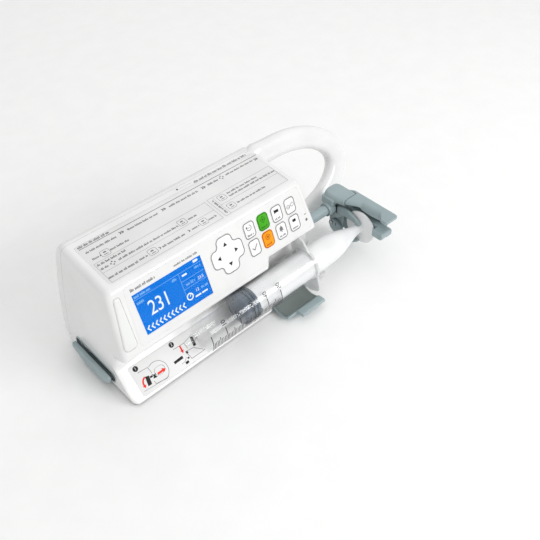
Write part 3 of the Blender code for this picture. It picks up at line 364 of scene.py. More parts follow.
def stroke(spots, width):
    """A bent line of even width through open spots."""
    ways = [(Vector(b) - Vector(a)).normalized() for a, b in zip(spots, spots[1:])]
    left, right = [], []
    for i, spot in enumerate(spots):
        before, after = ways[max(i - 1, 0)], ways[min(i, len(ways) - 1)]
        way = (before + after).normalized()
        reach = width / 2 / max(way.dot(after), 0.35)
        side = Vector((-way.y, way.x)) * reach
        left.append(tuple(Vector(spot) + side))
        right.append(tuple(Vector(spot) - side))
    return right + list(reversed(left))


def ring_line(outline, width):
    """A line along a closed outline: a pair of outlines, one inside the other."""
    middle = Vector((sum(a for a, _ in outline), sum(b for _, b in outline))) / len(outline)
    size = max((Vector(spot) - middle).length for spot in outline)
    scale = 1 - width / size
    inner = [tuple(middle + (Vector(spot) - middle) * scale) for spot in outline]
    return [(outline, inner)]


def arc(centre, radius, start, end, steps):
    found = []
    for k in range(steps + 1):
        angle = math.radians(start + (end - start) * k / steps)
        found.append((centre[0] + radius * math.cos(angle), centre[1] + radius * math.sin(angle)))
    return found


def circle(centre, radius, steps=32):
    return arc(centre, radius, 0.0, 360.0 * (steps - 1) / steps, steps - 1)


def moved(outline, x, y, turn):
    """The outline turned about its origin, then moved."""
    spots = [Matrix.Rotation(turn, 2) @ Vector(spot) for spot in outline]
    return [(spot.x + x, spot.y + y) for spot in spots]


# ---------------------------------------------------------------- meshes


def add_object(name, mesh, material=None):
    obj = bpy.data.objects.new(name, mesh)
    bpy.context.scene.collection.objects.link(obj)
    if material:
        mesh.materials.clear()
        mesh.materials.append(material)
    return obj


def shade(obj, angle=40.0):
    obj.data.shade_smooth()
    obj.data.set_sharp_from_angle(angle=math.radians(angle))
    return obj


def made_of(work, name, material=None):
    """The object that a finished bmesh becomes."""
    mesh = bpy.data.meshes.new(name)
    work.to_mesh(mesh)
    work.free()
    return add_object(name, mesh, material)


def gathered(meshes):
    """One bmesh of several meshes, which are used up."""
    work = bmesh.new()
    for mesh in meshes:
        work.from_mesh(mesh)
        bpy.data.meshes.remove(mesh)
    return work


def curve_mesh(curve):
    drawn = bpy.data.objects.new("drawn", curve)
    bpy.context.scene.collection.objects.link(drawn)
    graph = bpy.context.evaluated_depsgraph_get()
    mesh = bpy.data.meshes.new_from_object(drawn.evaluated_get(graph))
    bpy.data.objects.remove(drawn)
    bpy.data.curves.remove(curve)
    return mesh


def flat_curve(outlines, fill_mode):
    curve = bpy.data.curves.new("flat", "CURVE")
    curve.dimensions = "2D"
    curve.fill_mode = fill_mode
    for outline in outlines:
        spline = curve.splines.new("POLY")
        spline.points.add(len(outline) - 1)
        for spot, (a, b) in zip(spline.points, outline):
            spot.co = (a, b, 0.0, 1.0)
        spline.use_cyclic_u = True
    return curve


def plate(name, outlines, low, high, plane, material=None, edge=0.0, edge_steps=2):
    """Flat outlines, holes among them, thick from low to high over a plane, with rounded edges."""
    curve = flat_curve(outlines, "BOTH")
    curve.extrude = (high - low) / 2 - edge
    curve.bevel_depth = edge
    curve.bevel_resolution = edge_steps
    curve.offset = -edge
    work = gathered([curve_mesh(curve)])
    bmesh.ops.remove_doubles(work, verts=work.verts, dist=1e-4)
    bmesh.ops.recalc_face_normals(work, faces=work.faces)
    raised = Matrix.Translation((0.0, 0.0, (low + high) / 2))
    bmesh.ops.transform(work, matrix=raised, verts=work.verts)
    bmesh.ops.transform(work, matrix=plane, verts=work.verts)
    return shade(made_of(work, name, material))


def skin(name, rings, material=None, angle=32.0, closed=False):
    """A skin over rings of points. Single points close its ends, or its last ring joins its first."""
    work = bmesh.new()
    rows = [[work.verts.new(point(*spot)) for spot in ring] for ring in rings]
    for low, high in zip(rows, rows[1:] + rows[:1] if closed else rows[1:]):
        if len(low) == 1 or len(high) == 1:
            tip = low[0] if len(low) == 1 else high[0]
            base = high if len(low) == 1 else low
            for k in range(len(base)):
                work.faces.new((tip, base[k], base[(k + 1) % len(base)]))
            continue
        for k in range(len(low)):
            after = (k + 1) % len(low)
            work.faces.new((low[k], low[after], high[after], high[k]))
    bmesh.ops.recalc_face_normals(work, faces=work.faces)
    return shade(made_of(work, name, material), angle)


def turned(name, profile, axis, material=None, steps=72, angle=35.0):
    """A body of revolution about a line along X at axis (y, z), from (x, radius) points."""
    rings = []
    for x, radius in profile:
        ring = circle(axis, radius, steps) if radius else [axis]
        rings.append([(x, a, b) for a, b in ring])
    closed = profile[0] == profile[-1]
    return skin(name, rings[:-1] if closed else rings, material, angle, closed)


def block(name, low, high):
    """A plain box between two corners."""
    work = bmesh.new()
    bmesh.ops.create_cube(work, size=1.0)
    size = [b - a for a, b in zip(low, high)]
    middle = Vector([(a + b) / 2 for a, b in zip(low, high)])
    bmesh.ops.scale(work, vec=size, verts=work.verts)
    bmesh.ops.translate(work, vec=middle, verts=work.verts)
    bmesh.ops.transform(work, matrix=FLAT, verts=work.verts)
    return made_of(work, name)


def settle(obj):
    """Replaces the object's mesh with its modifiers' result."""
    graph = bpy.context.evaluated_depsgraph_get()
    mesh = bpy.data.meshes.new_from_object(obj.evaluated_get(graph))
    obj.modifiers.clear()
    obj.data = mesh
    return obj


def drop(objects):
    for obj in objects:
        bpy.data.objects.remove(obj)


def combine(obj, others, operation):
    """Cuts the object with others or joins them to it, and uses them up."""
    for other in others:
        step = obj.modifiers.new(other.name, "BOOLEAN")
        step.operation = operation
        step.solver = "EXACT"
        step.object = other
    settle(obj)
    drop(others)


def cut(obj, *others):
    combine(obj, others, "DIFFERENCE")


def join(obj, *others):
    combine(obj, others, "UNION")


def thicken(obj, amount):
    step = obj.modifiers.new("thick", "SOLIDIFY")
    step.thickness = amount * MM
    return settle(obj)


def fit(obj, body, slot, *nodes):
    """Sets the piece to ride on its body and hides the nodes it stands for. The slot is not used."""
    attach(obj, body)
    if nodes:
        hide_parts(*nodes)
    return obj


def thin_print(name, shapes, low, high, plane, material):
    """Thin closed shapes over a plane. A shape is an outline, or a pair of them with a hole between."""
    work = bmesh.new()
    for shape in shapes:
        outlines = shape if isinstance(shape, tuple) else (shape,)
        levels = []
        for outline in outlines:
            bottom = [work.verts.new((a, b, low)) for a, b in outline]
            top = [work.verts.new((a, b, high)) for a, b in outline]
            levels.append((bottom, top))
            for k in range(len(outline)):
                after = (k + 1) % len(outline)
                work.faces.new((bottom[k], bottom[after], top[after], top[k]))
        for index in range(2):
            first = levels[0][index]
            if len(levels) == 1:
                work.faces.new(first)
                continue
            second = levels[1][index]
            for k in range(len(first)):
                after = (k + 1) % len(first)
                work.faces.new((first[k], first[after], second[after], second[k]))
    bmesh.ops.recalc_face_normals(work, faces=work.faces)
    bmesh.ops.transform(work, matrix=plane, verts=work.verts)
    return made_of(work, name, material)


def print_on(name, shapes, plane, material, height=0.03, lift=0.0, body="pump_body"):
    """Ink, a few hundredths of a millimetre proud of a plane."""
    return fit(thin_print(name, shapes, lift, lift + height, plane, material), body, "black")


def numerals(text, size, x, y, turn=0.0, spacing=1.0):
    """A flat mesh of digits, centred on a place."""
    curve = bpy.data.curves.new("digits", "FONT")
    curve.body = text
    curve.size = size
    curve.space_character = spacing
    curve.align_x = "CENTER"
    curve.align_y = "CENTER"
    curve.resolution_u = 4
    mesh = curve_mesh(curve)
    mesh.transform(Matrix.Translation((x, y, 0.0)) @ Matrix.Rotation(turn, 4, "Z"))
    return mesh


def digit_sheet(name, meshes, amount, material, slot):
    """Flat digits as one thin piece."""
    return fit(thicken(made_of(gathered(meshes), name, material), amount), "pump_body", slot)


# ---------------------------------------------------------------- case


def down_panel(v):
    """Y and Z of the spot v down the front panel."""
    return (PANEL_AT[0] - v * math.sin(PANEL_LEAN), PANEL_AT[1] - v * math.cos(PANEL_LEAN))


def half_width(z):
    return BASE_HALF - LEAN * (max(z, 0.0) / HEIGHT) ** LEAN_POWER


def case_corners(zone):
    """Corners of the case's section in Y and Z: at the left end, along the cradle, or past it."""
    top = (TOP_AT[0] + 68.0 * math.cos(TOP_SLOPE), TOP_AT[1] + 68.0 * math.sin(TOP_SLOPE), 9.0)
    lip = (*down_panel(45.5), 2.6)
    bay_lip = (*down_panel(36.5), 2.6)
    slope_top = (24.5, SLOPE_Z + 24.5 * math.tan(SLOPE), 3.0)
    recess = {
        "left": [lip, (20.6, 40.4, 4.0), (23.6, SLOPE_Z + 23.6 * math.tan(SLOPE), 4.0)],
        "cradle": [lip, (23.0, 42.2, 4.0), slope_top],
        "bay": [bay_lip, (27.0, 50.8, 4.0), slope_top],
    }
    shared = [(1.4, BASE_Z, 0.8), (98.0, BASE_Z, 14.0), (99.6, 55.0, 80.0), top, (*TOP_AT, 7.0)]
    return shared + recess[zone] + [(0.1, SLOPE_Z + 0.1, 1.0)]


def dense(corners, steps, between, grow=0.0):
    """A rounded outline with extra points along its straight sides."""
    spots = rounded_outline(corners, steps, grow)
    found = []
    for i in range(len(corners)):
        group = spots[i * (steps + 1):(i + 1) * (steps + 1)]
        after = spots[((i + 1) * (steps + 1)) % len(spots)]
        found += group
        last = group[-1]
        for k in range(1, between + 1):
            part = k / (between + 1)
            found.append((last[0] + (after[0] - last[0]) * part, last[1] + (after[1] - last[1]) * part))
    return found


def shrunk(outline, centre, scale):
    return [(centre[0] + (a - centre[0]) * scale, centre[1] + (b - centre[1]) * scale) for a, b in outline]


def end_rings(outline, side, rounding, margin, centre, steps):
    """Rings from where an end's rounding starts to the middle of its leaning face."""
    rings = []
    for k in range(steps + 1):
        angle = math.pi / 2 * k / max(steps, 1) if rounding else 0.0
        inset = rounding * (1 - math.cos(angle))
        back = margin + rounding * (1 - math.sin(angle))
        section = shrunk(outline, centre, 1 - inset / HALF_SECTION)
        rings.append([(side * (half_width(b) - back), a, b) for a, b in section])
    edge = 1 - rounding / HALF_SECTION
    for scale in (0.86, 0.72, 0.58, 0.44, 0.3, 0.15):
        section = shrunk(outline, centre, edge * scale)
        rings.append([(side * (half_width(b) - margin), a, b) for a, b in section])
    rings.append([(side * (half_width(centre[1]) - margin), centre[0], centre[1])])
    return rings


def smooth_step(part):
    return part * part * (3 - 2 * part)


def between_rings(first, last, count):
    """Rings that turn smoothly from one to the other."""
    found = []
    for k in range(1, count):
        part = k / count
        ease = smooth_step(part)
        ring = []
        for low, high in zip(first, last):
            x = low[0] + (high[0] - low[0]) * part
            ring.append((x, low[1] + (high[1] - low[1]) * ease, low[2] + (high[2] - low[2]) * ease))
        found.append(ring)
    return found


def section_ring(x, outline):
    return [(x, a, b) for a, b in outline]


def case_skin(name, margin=0.0):
    outlines = {zone: dense(case_corners(zone), 7, 5, margin) for zone in ("left", "cradle", "bay")}
    left_end = end_rings(outlines["left"], -1, LEFT_ROUNDING, -margin, (55.0, 50.0), 8)
    rings = list(reversed(left_end))
    cradle_start = section_ring(-84.0, outlines["cradle"])
    rings += between_rings(rings[-1], cradle_start, 8)
    rings.append(cradle_start)
    cradle_end = section_ring(STEP_X - 1.0, outlines["cradle"])
    bay_start = section_ring(STEP_X + 3.5, outlines["bay"])
    rings.append(cradle_end)
    rings += between_rings(cradle_end, bay_start, 6)
    rings.append(bay_start)
    rings += end_rings(outlines["bay"], 1, RIGHT_ROUNDING, -margin, (60.0, 56.0), 6)
    return skin(name, rings, WHITE)


def case_cavity(name):
    shared = [(28.5, 4.8, 0.4), (28.5, -5.0, 0.4), (80.0, -5.0, 0.4), (80.0, 4.8, 0.4), (95.4, 4.8, 11.0),
              (96.8, 55.0, 77.0), (95.6, 98.0, 6.0), (32.3, 92.9, 4.0)]
    cradle = [(8.5, 4.8, 0.3)] + shared + [(13.9, 49.6, 1.2), (25.9, 44.9, 2.0), (27.2, 24.6, 1.5)]
    bay = [(27.2, 4.8, 0.3)] + shared + [(16.5, 56.6, 1.2), (29.6, 54.4, 2.0), (27.4, 24.6, 1.5)]
    outlines = [rounded_outline(corners, 3) for corners in (cradle, bay)]
    centre = (60.0, 56.0)
    rings = list(reversed(end_rings(outlines[0], -1, 0.0, WALL, centre, 0)))
    rings.append(section_ring(BAY_X - 3.0, outlines[0]))
    rings.append(section_ring(BAY_X - 1.0, outlines[1]))
    rings += end_rings(outlines[1], 1, 0.0, WALL, centre, 0)
    return skin(name, rings)


def film_outline(grow=0.0):
    corners = [(-85.3, -39.4, 3.0), (41.0, -39.4, 3.0), (44.5, -32.4, 3.0), (97.0, -32.4, 4.0),
               (91.6, 8.3, 4.0), (-81.4, 8.3, 4.0)]
    return rounded_outline(corners, 8, grow)


def lamp_outline(grow=0.0):
    corners = [(-98.9, -37.4, 3.8), (-87.0, -37.4, 3.8), (-86.0, 4.8, 1.9), (-91.4, 4.8, 1.9)]
    return rounded_outline(corners, 8, grow)


def key_centre(column, row):
    return (KEY_X + column * KEY_PITCH_X, -(KEY_V + row * KEY_PITCH_V))


def key_outline(column, row, grow=0.0):
    return rounded_rectangle(*KEY_SIZE, 3.4, key_centre(column, row), 8, grow)


def arrow_outline(grow=0.0):
    reach, half, tip, inner = ARROW_REACH, ARROW_WIDTH / 2, 4.9, 2.6
    corners = []
    for turn in range(4):
        for a, b, radius in ((reach, -half, tip), (reach, half, tip), (half, half, inner)):
            spot = Matrix.Rotation(QUARTER * turn, 2) @ Vector((a, b))
            corners.append((spot.x + ARROW[0], spot.y - ARROW[1], radius))
    return rounded_outline(corners, 8, grow)


def window_outline(grow=0.0):
    middle = ((DISPLAY[0] + DISPLAY[1]) / 2, -(DISPLAY[2] + DISPLAY[3]) / 2)
    return rounded_rectangle(65.0, 36.2, 0.8, middle, 3, grow)


def label_outline(grow=0.0):
    corners = [(-86.8, 5.0, 2.5), (90.0, 5.0, 2.5), (90.0, 52.0, 2.5), (-86.8, 52.0, 2.5)]
    return rounded_outline(corners, 5, grow)


def cradle_label_outline(grow=0.0):
    corners = [(-95.6, 2.6, 1.5), (32.0, 2.6, 3.0), (36.0, 7.0, 3.0), (36.0, 27.6, 1.5), (-95.6, 27.6, 1.5)]
    return rounded_outline(corners, 5, grow)


def lip_corner_outline():
    """What is taken off the cradle's front right corner to round it, on the cradle's plane."""
    radius = 4.5
    centre = (BAY_X - radius, radius - 0.2)
    beyond = BAY_X + 2.0
    return [(centre[0], -4.0), (beyond, -4.0), (beyond, centre[1])] + arc(centre, radius, 0.0, -90.0, 14)


def paddle_outline(grow=0.0):
    """The dock lever's long lens, in Y and Z."""
    low, high = 24.0, 78.0
    corners = [(low + 3.0, 11.0, 3.0), (low + 14.0, 4.2, 10.0), (high - 18.0, 4.2, 14.0), (high, 12.0, 3.0),
               (high - 2.0, 18.5, 2.5), (low + 1.0, 18.0, 2.5)]
    return rounded_outline(corners, 10, grow)


def rod(name, radius, x_from, x_to, y, z, steps=32):
    return turned(name, [(x_from, 0.0), (x_from, radius), (x_to, radius), (x_to, 0.0)], (y, z), None, steps)


def rod_along_y(name, radius, y_from, y_to, x, z, steps=32):
    rings = []
    for y in (y_from, y_to):
        rings.append([(x + a, y, z + b) for a, b in circle((0.0, 0.0), radius, steps)])
    rings.insert(0, [(x, y_from, z)])
    rings.append([(x, y_to, z)])
    return skin(name, rings)


def front_case():
    shell = case_skin("case_front")
    opening = block("base_opening", (-93.8, 28.6, -6.0), (102.1, 79.9, 5.0))
    cut(shell, case_cavity("cavity"), opening)
    join(shell, block("lever_box", (-103.0, 24.0, 2.3), (-93.9, 81.5, 27.5)))
    bay = block("bay_space", (BAY_X, -20.0, 4.2), (115.0, 24.3, 30.0))
    well = block("clamp_well", (BAY_X, -20.0, -2.0), (76.9, 13.5, 30.0))
    cut(shell, bay, well)
    join(shell, block("clamp_lug", (77.0, 3.6, 2.6), (78.6, 12.6, 11.0)))
    behind = block("behind_split", (-130.0, SPLIT_Y - GAP / 2, -20.0), (130.0, 140.0, 140.0))
    flange = block("flange_slot", (78.2, -10.0, 40.0), (82.6, 27.0, 53.6))
    tube = rod("tube_hole", 7.3, 85.0, 115.0, *TUBE)
    pin = rod("clamp_pin_hole", 1.8, 31.4, 86.4, *CLAMP_HINGE)
    lever = plate("lever_pocket", [paddle_outline(1.0)], -112.0, -97.0, ACROSS)
    lever_pin = rod_along_y("lever_pin_hole", 1.5, 26.0, 76.0, *LEVER_HINGE)
    corner = plate("lip_corner", [lip_corner_outline()], -6.0, 4.0, CRADLE)
    cut(shell, behind, flange, tube, pin, lever, lever_pin, corner)
    recesses = [
        plate("film_recess", [film_outline(SEAM)], -0.8, 3.0, PANEL),
        plate("window_hole", [window_outline(GAP)], -12.0, 3.0, PANEL),
        plate("lamp_recess", [lamp_outline(SEAM)], -2.3, 3.0, PANEL),
        plate("arrow_hole", [arrow_outline(GAP)], -8.0, 3.0, PANEL),
        plate("label_recess", [label_outline(SEAM)], -0.8, 3.0, TOP),
        plate("cradle_recess", [cradle_label_outline(SEAM)], -0.8, 1.2, CRADLE),
    ]
    for row in range(2):
        for column in range(4):
            recesses.append(plate("key_hole", [key_outline(column, row, GAP)], -8.0, 3.0, PANEL))
    cut(shell, *recesses)
    shade(shell, 32.0)
    return fit(shell, "pump_body", "white_case", "front_case")


def rear_case():
    shell = case_skin("case_rear")
    ahead = block("ahead_of_split", (-130.0, -60.0, -20.0), (130.0, SPLIT_Y + GAP / 2, 140.0))
    inlet = block("inlet_hole", (-72.3, 84.0, 17.7), (-43.7, 110.0, 38.3))
    port = block("port_hole", (-32.3, 84.0, 19.7), (-15.7, 110.0, 34.3))
    vents = [rounded_rectangle(2.2, 20.0, 1.0, (78.0 - 5.0 * k, 70.0), 5) for k in range(8)]
    cut(shell, case_cavity("cavity"), ahead, inlet, port, plate("vent_slots", vents, 84.0, 110.0, REAR))
    shade(shell, 32.0)
    return fit(shell, "pump_body", "white_case", "rear_case")


def rear_details():
    """The four screws of the rear pad, their cross recesses shown as painted shade."""
    spots = [(-x, z) for x in (11.0, 59.0) for z in (50.0, 78.0)]
    heads = [circle(spot, 2.4, 28) for spot in spots]
    fit(thin_print("pad_screws", heads, 102.5, 103.0, REAR, STEEL), "pump_body", "steel")
    arm, half = 1.5, 0.32
    cross = [(arm, half), (half, half), (half, arm), (-half, arm), (-half, half), (-arm, half),
             (-arm, -half), (-half, -half), (-half, -arm), (half, -arm), (half, -half), (arm, -half)]
    # Black crosses on the heads: painted shade standing for the cross recesses, which are not cut.
    recesses = [moved(cross, x, z, 0.5) for x, z in spots]
    print_on("pad_screw_slots", recesses, REAR, BLACK, 0.04, 103.0)


def signed_power(value, power):
    return math.copysign(abs(value) ** power, value)


def carry_handle():
    """The loop on the right end, flaring where it grows out of the case and tapering inside it."""
    middle_x, middle_v, reach_x, reach_v = 118.0, 50.5, 68.0, 37.5
    radial, depth, ahead_by = 10.6, 7.0, 7.2
    plane_y, plane_z = 97.2, 100.3
    steps, round_steps = 72, 48
    straight = (84.0, 88.0, 92.0, 97.0, 102.0, 107.0, 112.0)
    path = [(x, middle_v - reach_v, 0.0, -1.0) for x in straight]
    for k in range(steps + 1):
        angle = QUARTER - math.pi * k / steps
        side = Vector((math.cos(angle) / reach_x, math.sin(angle) / reach_v)).normalized()
        x = middle_x + reach_x * math.cos(angle)
        path.append((x, middle_v - reach_v * math.sin(angle), side.x, -side.y))
    path += [(x, middle_v + reach_v, 0.0, 1.0) for x in reversed(straight)]
    rings = []
    for x, v, out_x, out_v in path:
        near = min(max((116.0 - x) / 22.0, 0.0), 1.0)
        buried = 1.0 - smooth_step(min(max((x - straight[0]) / 13.0, 0.0), 1.0))
        flare = (1.0 + 0.10 * near * near) * (1.0 - 0.42 * buried)
        ring = []
        for k in range(round_steps):
            angle = 2 * math.pi * k / round_steps
            across = radial * flare * signed_power(math.cos(angle), 0.72)
            ahead = ahead_by + depth * flare * signed_power(math.sin(angle), 0.8)
            down = v + out_v * across
            y = plane_y - down * math.sin(PANEL_LEAN) - ahead * math.cos(PANEL_LEAN)
            z = plane_z - down * math.cos(PANEL_LEAN) + ahead * math.sin(PANEL_LEAN)
            ring.append((x + out_x * across, y, z))
        rings.append(ring)
    ends = []
    for ring in (rings[0], rings[-1]):
        ends.append([tuple(sum(spot[i] for spot in ring) / round_steps for i in range(3))])
    handle = skin("handle_loop", [ends[0]] + rings + [ends[1]], WHITE)
    cut(handle, case_skin("case_clearance", -0.15))
    shade(handle, 40.0)
    return fit(handle, "pump_body", "white_case", "carry_handle")


def feet():
    spots = {"front_left": (-88.0, 15.0), "front_right": (92.0, 14.0), "rear_left": (-88.0, 70.0),
             "rear_right": (88.0, 70.0)}
    profile = [(0.0, 0.0), (0.0, 3.6), (0.35, 3.9), (0.35, 4.4), (0.0, 4.7), (0.12, 5.5), (0.5, 5.9),
               (1.7, 6.0), (1.7, 0.0)]
    for name, spot in spots.items():
        rings = []
        for z, radius in profile:
            ring = circle(spot, radius, 40) if radius else [spot]
            rings.append([(x, y, z) for x, y in ring])
        fit(skin("rubber_" + name, rings, RUBBER), "pump_body", "rubber", "foot_" + name)


def base_skirt():
    """A black strip round the base under the case's lower edge: painted shade that stands in for the contact
    shadow under the case.
    """
    corners = [(-103.4, 2.4, 4.0), (38.2, 2.4, 4.0), (38.2, 14.2, 0.6), (77.4, 14.2, 0.6), (77.4, 2.4, 0.6),
               (103.6, 2.4, 3.0), (103.6, 95.0, 6.0), (-103.4, 95.0, 6.0)]
    ring = [rounded_outline(corners, 8), rounded_outline(corners, 8, -1.4)]
    fit(plate("base_gasket", ring, 0.3, 2.2, FLAT, BLACK), "pump_body", "black")


def lever_bezel():
    """The grey rim round the dock lever's pocket."""
    outlines = [paddle_outline(2.2), paddle_outline(1.0)]
    rim = plate("lever_rim", outlines, -105.4, -103.0, ACROSS, GREY, 0.35, 3)
    fit(rim, "pump_body", "grey_plastic")


# ---------------------------------------------------------------- print


def words(x, y, length, height, seed, middle=0.72):
    """A line of print as it reads from afar: blocks in word-like groups, with no letters in it."""
    draw = random.Random(seed)
    found = []
    spot = 0.0
    while spot < length - 0.6:
        group = min(draw.uniform(2.2, 6.5), length - spot)
        end = spot + group
        while spot < end - 0.3:
            wide = min(draw.uniform(0.45, 0.85), end - spot)
            tall = height * (1.0 if draw.random() < 0.28 else middle)
            found.append(box_corners(x + spot, y, x + spot + wide, y + tall))
            spot += wide + 0.28
        spot += 0.75
    return found


def chevrons(x, y, size, count=2):
    """Arrowheads that point right, from their left end's middle."""
    found = []
    for k in range(count):
        at = x + k * size * 0.75
        found.append(stroke([(at, y + size / 2), (at + size * 0.55, y), (at, y - size / 2)], size * 0.34))
    return found


def box_corners(x0, y0, x1, y1, grow=0.0):
    return [(x0 - grow, y0 - grow), (x1 + grow, y0 - grow), (x1 + grow, y1 + grow), (x0 - grow, y1 + grow)]


def frame_lines(*box):
    """A hairline round a box."""
    return [(box_corners(*box, 0.15), box_corners(*box, -0.15))]


def key_sign(x, y):
    """A small outline of a key, as the instructions show it."""
    outer = rounded_rectangle(7.6, 6.6, 1.6, (x, y), 4)
    return [(outer, rounded_rectangle(7.0, 6.0, 1.3, (x, y), 4))]


# The top label's lines of print: x, y, length, height and seed
LABEL_PRINT = (
    (-82.6, 41.2, 27.0, 2.0, 21), (-45.2, 41.8, 28.2, 2.0, 22), (-5.4, 42.2, 29.0, 2.0, 23),
    (34.6, 42.6, 10.6, 2.0, 24), (54.0, 43.0, 31.0, 2.0, 25), (-82.4, 32.6, 7.2, 2.0, 26),
    (-67.2, 32.6, 17.4, 2.0, 27), (-83.4, 25.2, 24.4, 2.2, 28), (-83.4, 20.6, 6.4, 2.0, 31),
    (-68.2, 20.6, 54.6, 2.0, 32), (-3.1, 21.2, 8.0, 2.0, 33), (-84.0, 10.0, 25.6, 2.4, 34),
    (-57.0, 10.6, 7.2, 2.0, 35), (-36.2, 10.4, 21.4, 2.0, 36), (-7.8, 10.8, 7.0, 2.0, 37),
    (8.8, 10.8, 7.8, 2.0, 38), (39.6, 25.0, 33.2, 2.0, 41), (39.2, 21.4, 50.4, 2.0, 42),
    (39.0, 11.4, 30.2, 2.0, 43),
)


def top_label():
    film = plate("guide_label", [label_outline()], -0.5, 0.0, TOP, LABEL, 0.12, 1)
    fit(film, "pump_body", "film", "top_label")
    print_on("label_rule", [bar(-84.8, 47.6, 176.4, 0.55)], TOP, INK_GREY)
    print_on("label_title", words(-84.6, 48.7, 28.0, 2.6, 11), TOP, INK_GREY)
    header = words(28.0, 52.3, 56.5, 2.5, 12)
    header += [circle((12.0, 55.0), 0.95, 20), circle((100.0, 56.2), 0.95, 20)]
    print_on("label_header", header, TOP, INK_GREY)
    print_on("label_leader", [bar(13.4, 54.4, 13.0, 0.22), bar(86.0, 55.4, 12.6, 0.22)], TOP, INK_PALE)
    steps = [shape for line in LABEL_PRINT for shape in words(*line)]
    for x in (-52.0, -12.3, 28.0, 85.6):
        steps += chevrons(x, 43.4, 2.6)
    steps += chevrons(-38.8, 11.6, 2.2, 1) + chevrons(-11.0, 11.8, 2.2, 1)
    steps += [moved(shape, 25.8, 8.4, QUARTER) for shape in words(0.0, 0.0, 18.6, 1.8, 44)]
    print_on("label_print", steps, TOP, INK_GREY)
    lines = frame_lines(-84.4, 6.2, 19.0, 28.8) + frame_lines(21.8, 6.2, 89.2, 29.6)
    rows = [bar(-84.3, 17.6, 103.2, 0.28), bar(27.3, 18.2, 61.8, 0.28), bar(27.2, 6.4, 23.0, 0.28, QUARTER)]
    print_on("label_frames", lines, TOP, INK_PALE)
    print_on("label_rows", rows, TOP, INK_PALE, 0.026)
    signs = []
    for x, y in ((-71.4, 33.6), (-8.6, 22.6), (-44.4, 12.2), (4.2, 12.6), (33.4, 24.6), (33.2, 12.6)):
        signs += key_sign(x, y)
        signs += [rounded_rectangle(2.6, 1.2, 0.3, (x, y + 0.9), 2), bar(x - 1.7, y - 1.4, 3.4, 0.6)]
    for x, y in ((-73.0, 21.6), (49.4, 43.8)):
        for turn in range(4):
            head = [(2.6, 0.0), (1.2, 0.9), (1.2, -0.9)]
            signs.append(moved(head, x, y, QUARTER * turn))
    print_on("label_signs", signs, TOP, INK_GREY, 0.034)


def disc_number(text, x, y):
    """A black disc with a pale digit on it."""
    print_on("disc_" + text, [circle((x, y), 2.25, 40)], CRADLE, INK)
    digit = numerals(text, 3.4, x, y)
    digit.transform(Matrix.Translation((0.0, 0.0, 0.05)))
    digit.transform(CRADLE)
    digit_sheet("disc_digit_" + text, [digit], 0.02, LABEL, "film")


def arrow_mark(spots, width, head, length):
    """A shaft along spots that ends in an arrowhead, as one outline."""
    shaft = stroke(spots, width)
    way = (Vector(spots[-1]) - Vector(spots[-2])).normalized()
    side = Vector((-way.y, way.x))
    end = Vector(spots[-1])
    tip = [tuple(end + side * head / 2), tuple(end - side * head / 2), tuple(end + way * length)]
    half = len(spots)
    right, left = shaft[:half], shaft[half:]
    return right + [tip[1], tip[2], tip[0]] + left


def cradle_label():
    film = plate("loading_label", [cradle_label_outline()], -0.5, 0.0, CRADLE, CRADLE_FILM, 0.12, 1)
    fit(film, "pump_body", "film", "cradle_label")
    disc_number("1", -90.3, 24.4)
    disc_number("2", -55.8, 24.4)
    dome = arc((-76.0, 12.6), 8.6, 118.0, -70.0, 24)
    lines = [stroke([(-90.6, 20.8), (-81.6, 20.2), (-80.9, 14.6)], 0.36),
             stroke([(-80.6, 20.2)] + dome + [(-82.4, 6.0), (-82.6, 8.6)], 0.36),
             stroke([(-93.6, 6.2), (-86.4, 5.6), (-71.0, 4.8)], 0.28),
             stroke([(-56.6, 20.4), (-46.2, 20.0), (-45.6, 14.8)], 0.36),
             stroke([(-46.6, 20.0), (-36.4, 22.4), (-34.4, 15.0)], 0.28),
             stroke([(-41.0, 12.6), (-33.6, 6.2), (-46.9, 6.1), (-48.6, 13.6), (-41.2, 12.8)], 0.36),
             stroke([(-56.4, 7.0), (-53.2, 7.2), (-50.4, 9.6)], 0.28)]
    lines += ring_line(rounded_rectangle(9.4, 6.6, 3.2, (-74.4, 13.2), 8), 0.3)
    print_on("guide_lines", lines, CRADLE, INK_GREY)
    blocks = [[(-88.6, 7.6), (-85.2, 7.6), (-84.0, 14.4), (-87.2, 15.2)],
              bar(-84.0, 12.6, 2.4, 1.5), [(-82.0, 10.2), (-78.6, 9.8), (-79.4, 11.8), (-78.2, 13.0),
                                           (-80.2, 12.8), (-81.8, 14.2), (-81.0, 12.0)],
              [(-61.5, 10.0), (-52.9, 10.2), (-52.8, 12.6), (-61.5, 12.1)],
              [(-40.5, 13.3), (-37.8, 13.4), (-36.8, 20.6), (-39.2, 21.5)],
              [(-53.4, 4.6), (-50.3, 4.8), (-50.4, 6.8), (-53.4, 6.6)],
              bar(-50.0, 8.2, 1.6, 1.4), bar(-48.8, 12.4, 1.8, 1.8)]
    print_on("guide_blocks", blocks, CRADLE, INK, 0.036)
    bend = arc((-86.2, 10.4), 4.9, 104.0, 186.0, 12)
    reds = [arrow_mark(bend, 1.3, 3.2, 2.3), arrow_mark([(-77.4, 11.5), (-72.6, 11.6)], 1.7, 4.0, 3.0),
            arrow_mark([(-50.4, 20.2), (-50.6, 16.2)], 1.3, 3.0, 2.7)]
    print_on("guide_arrows", reds, CRADLE, INK_RED, 0.042)


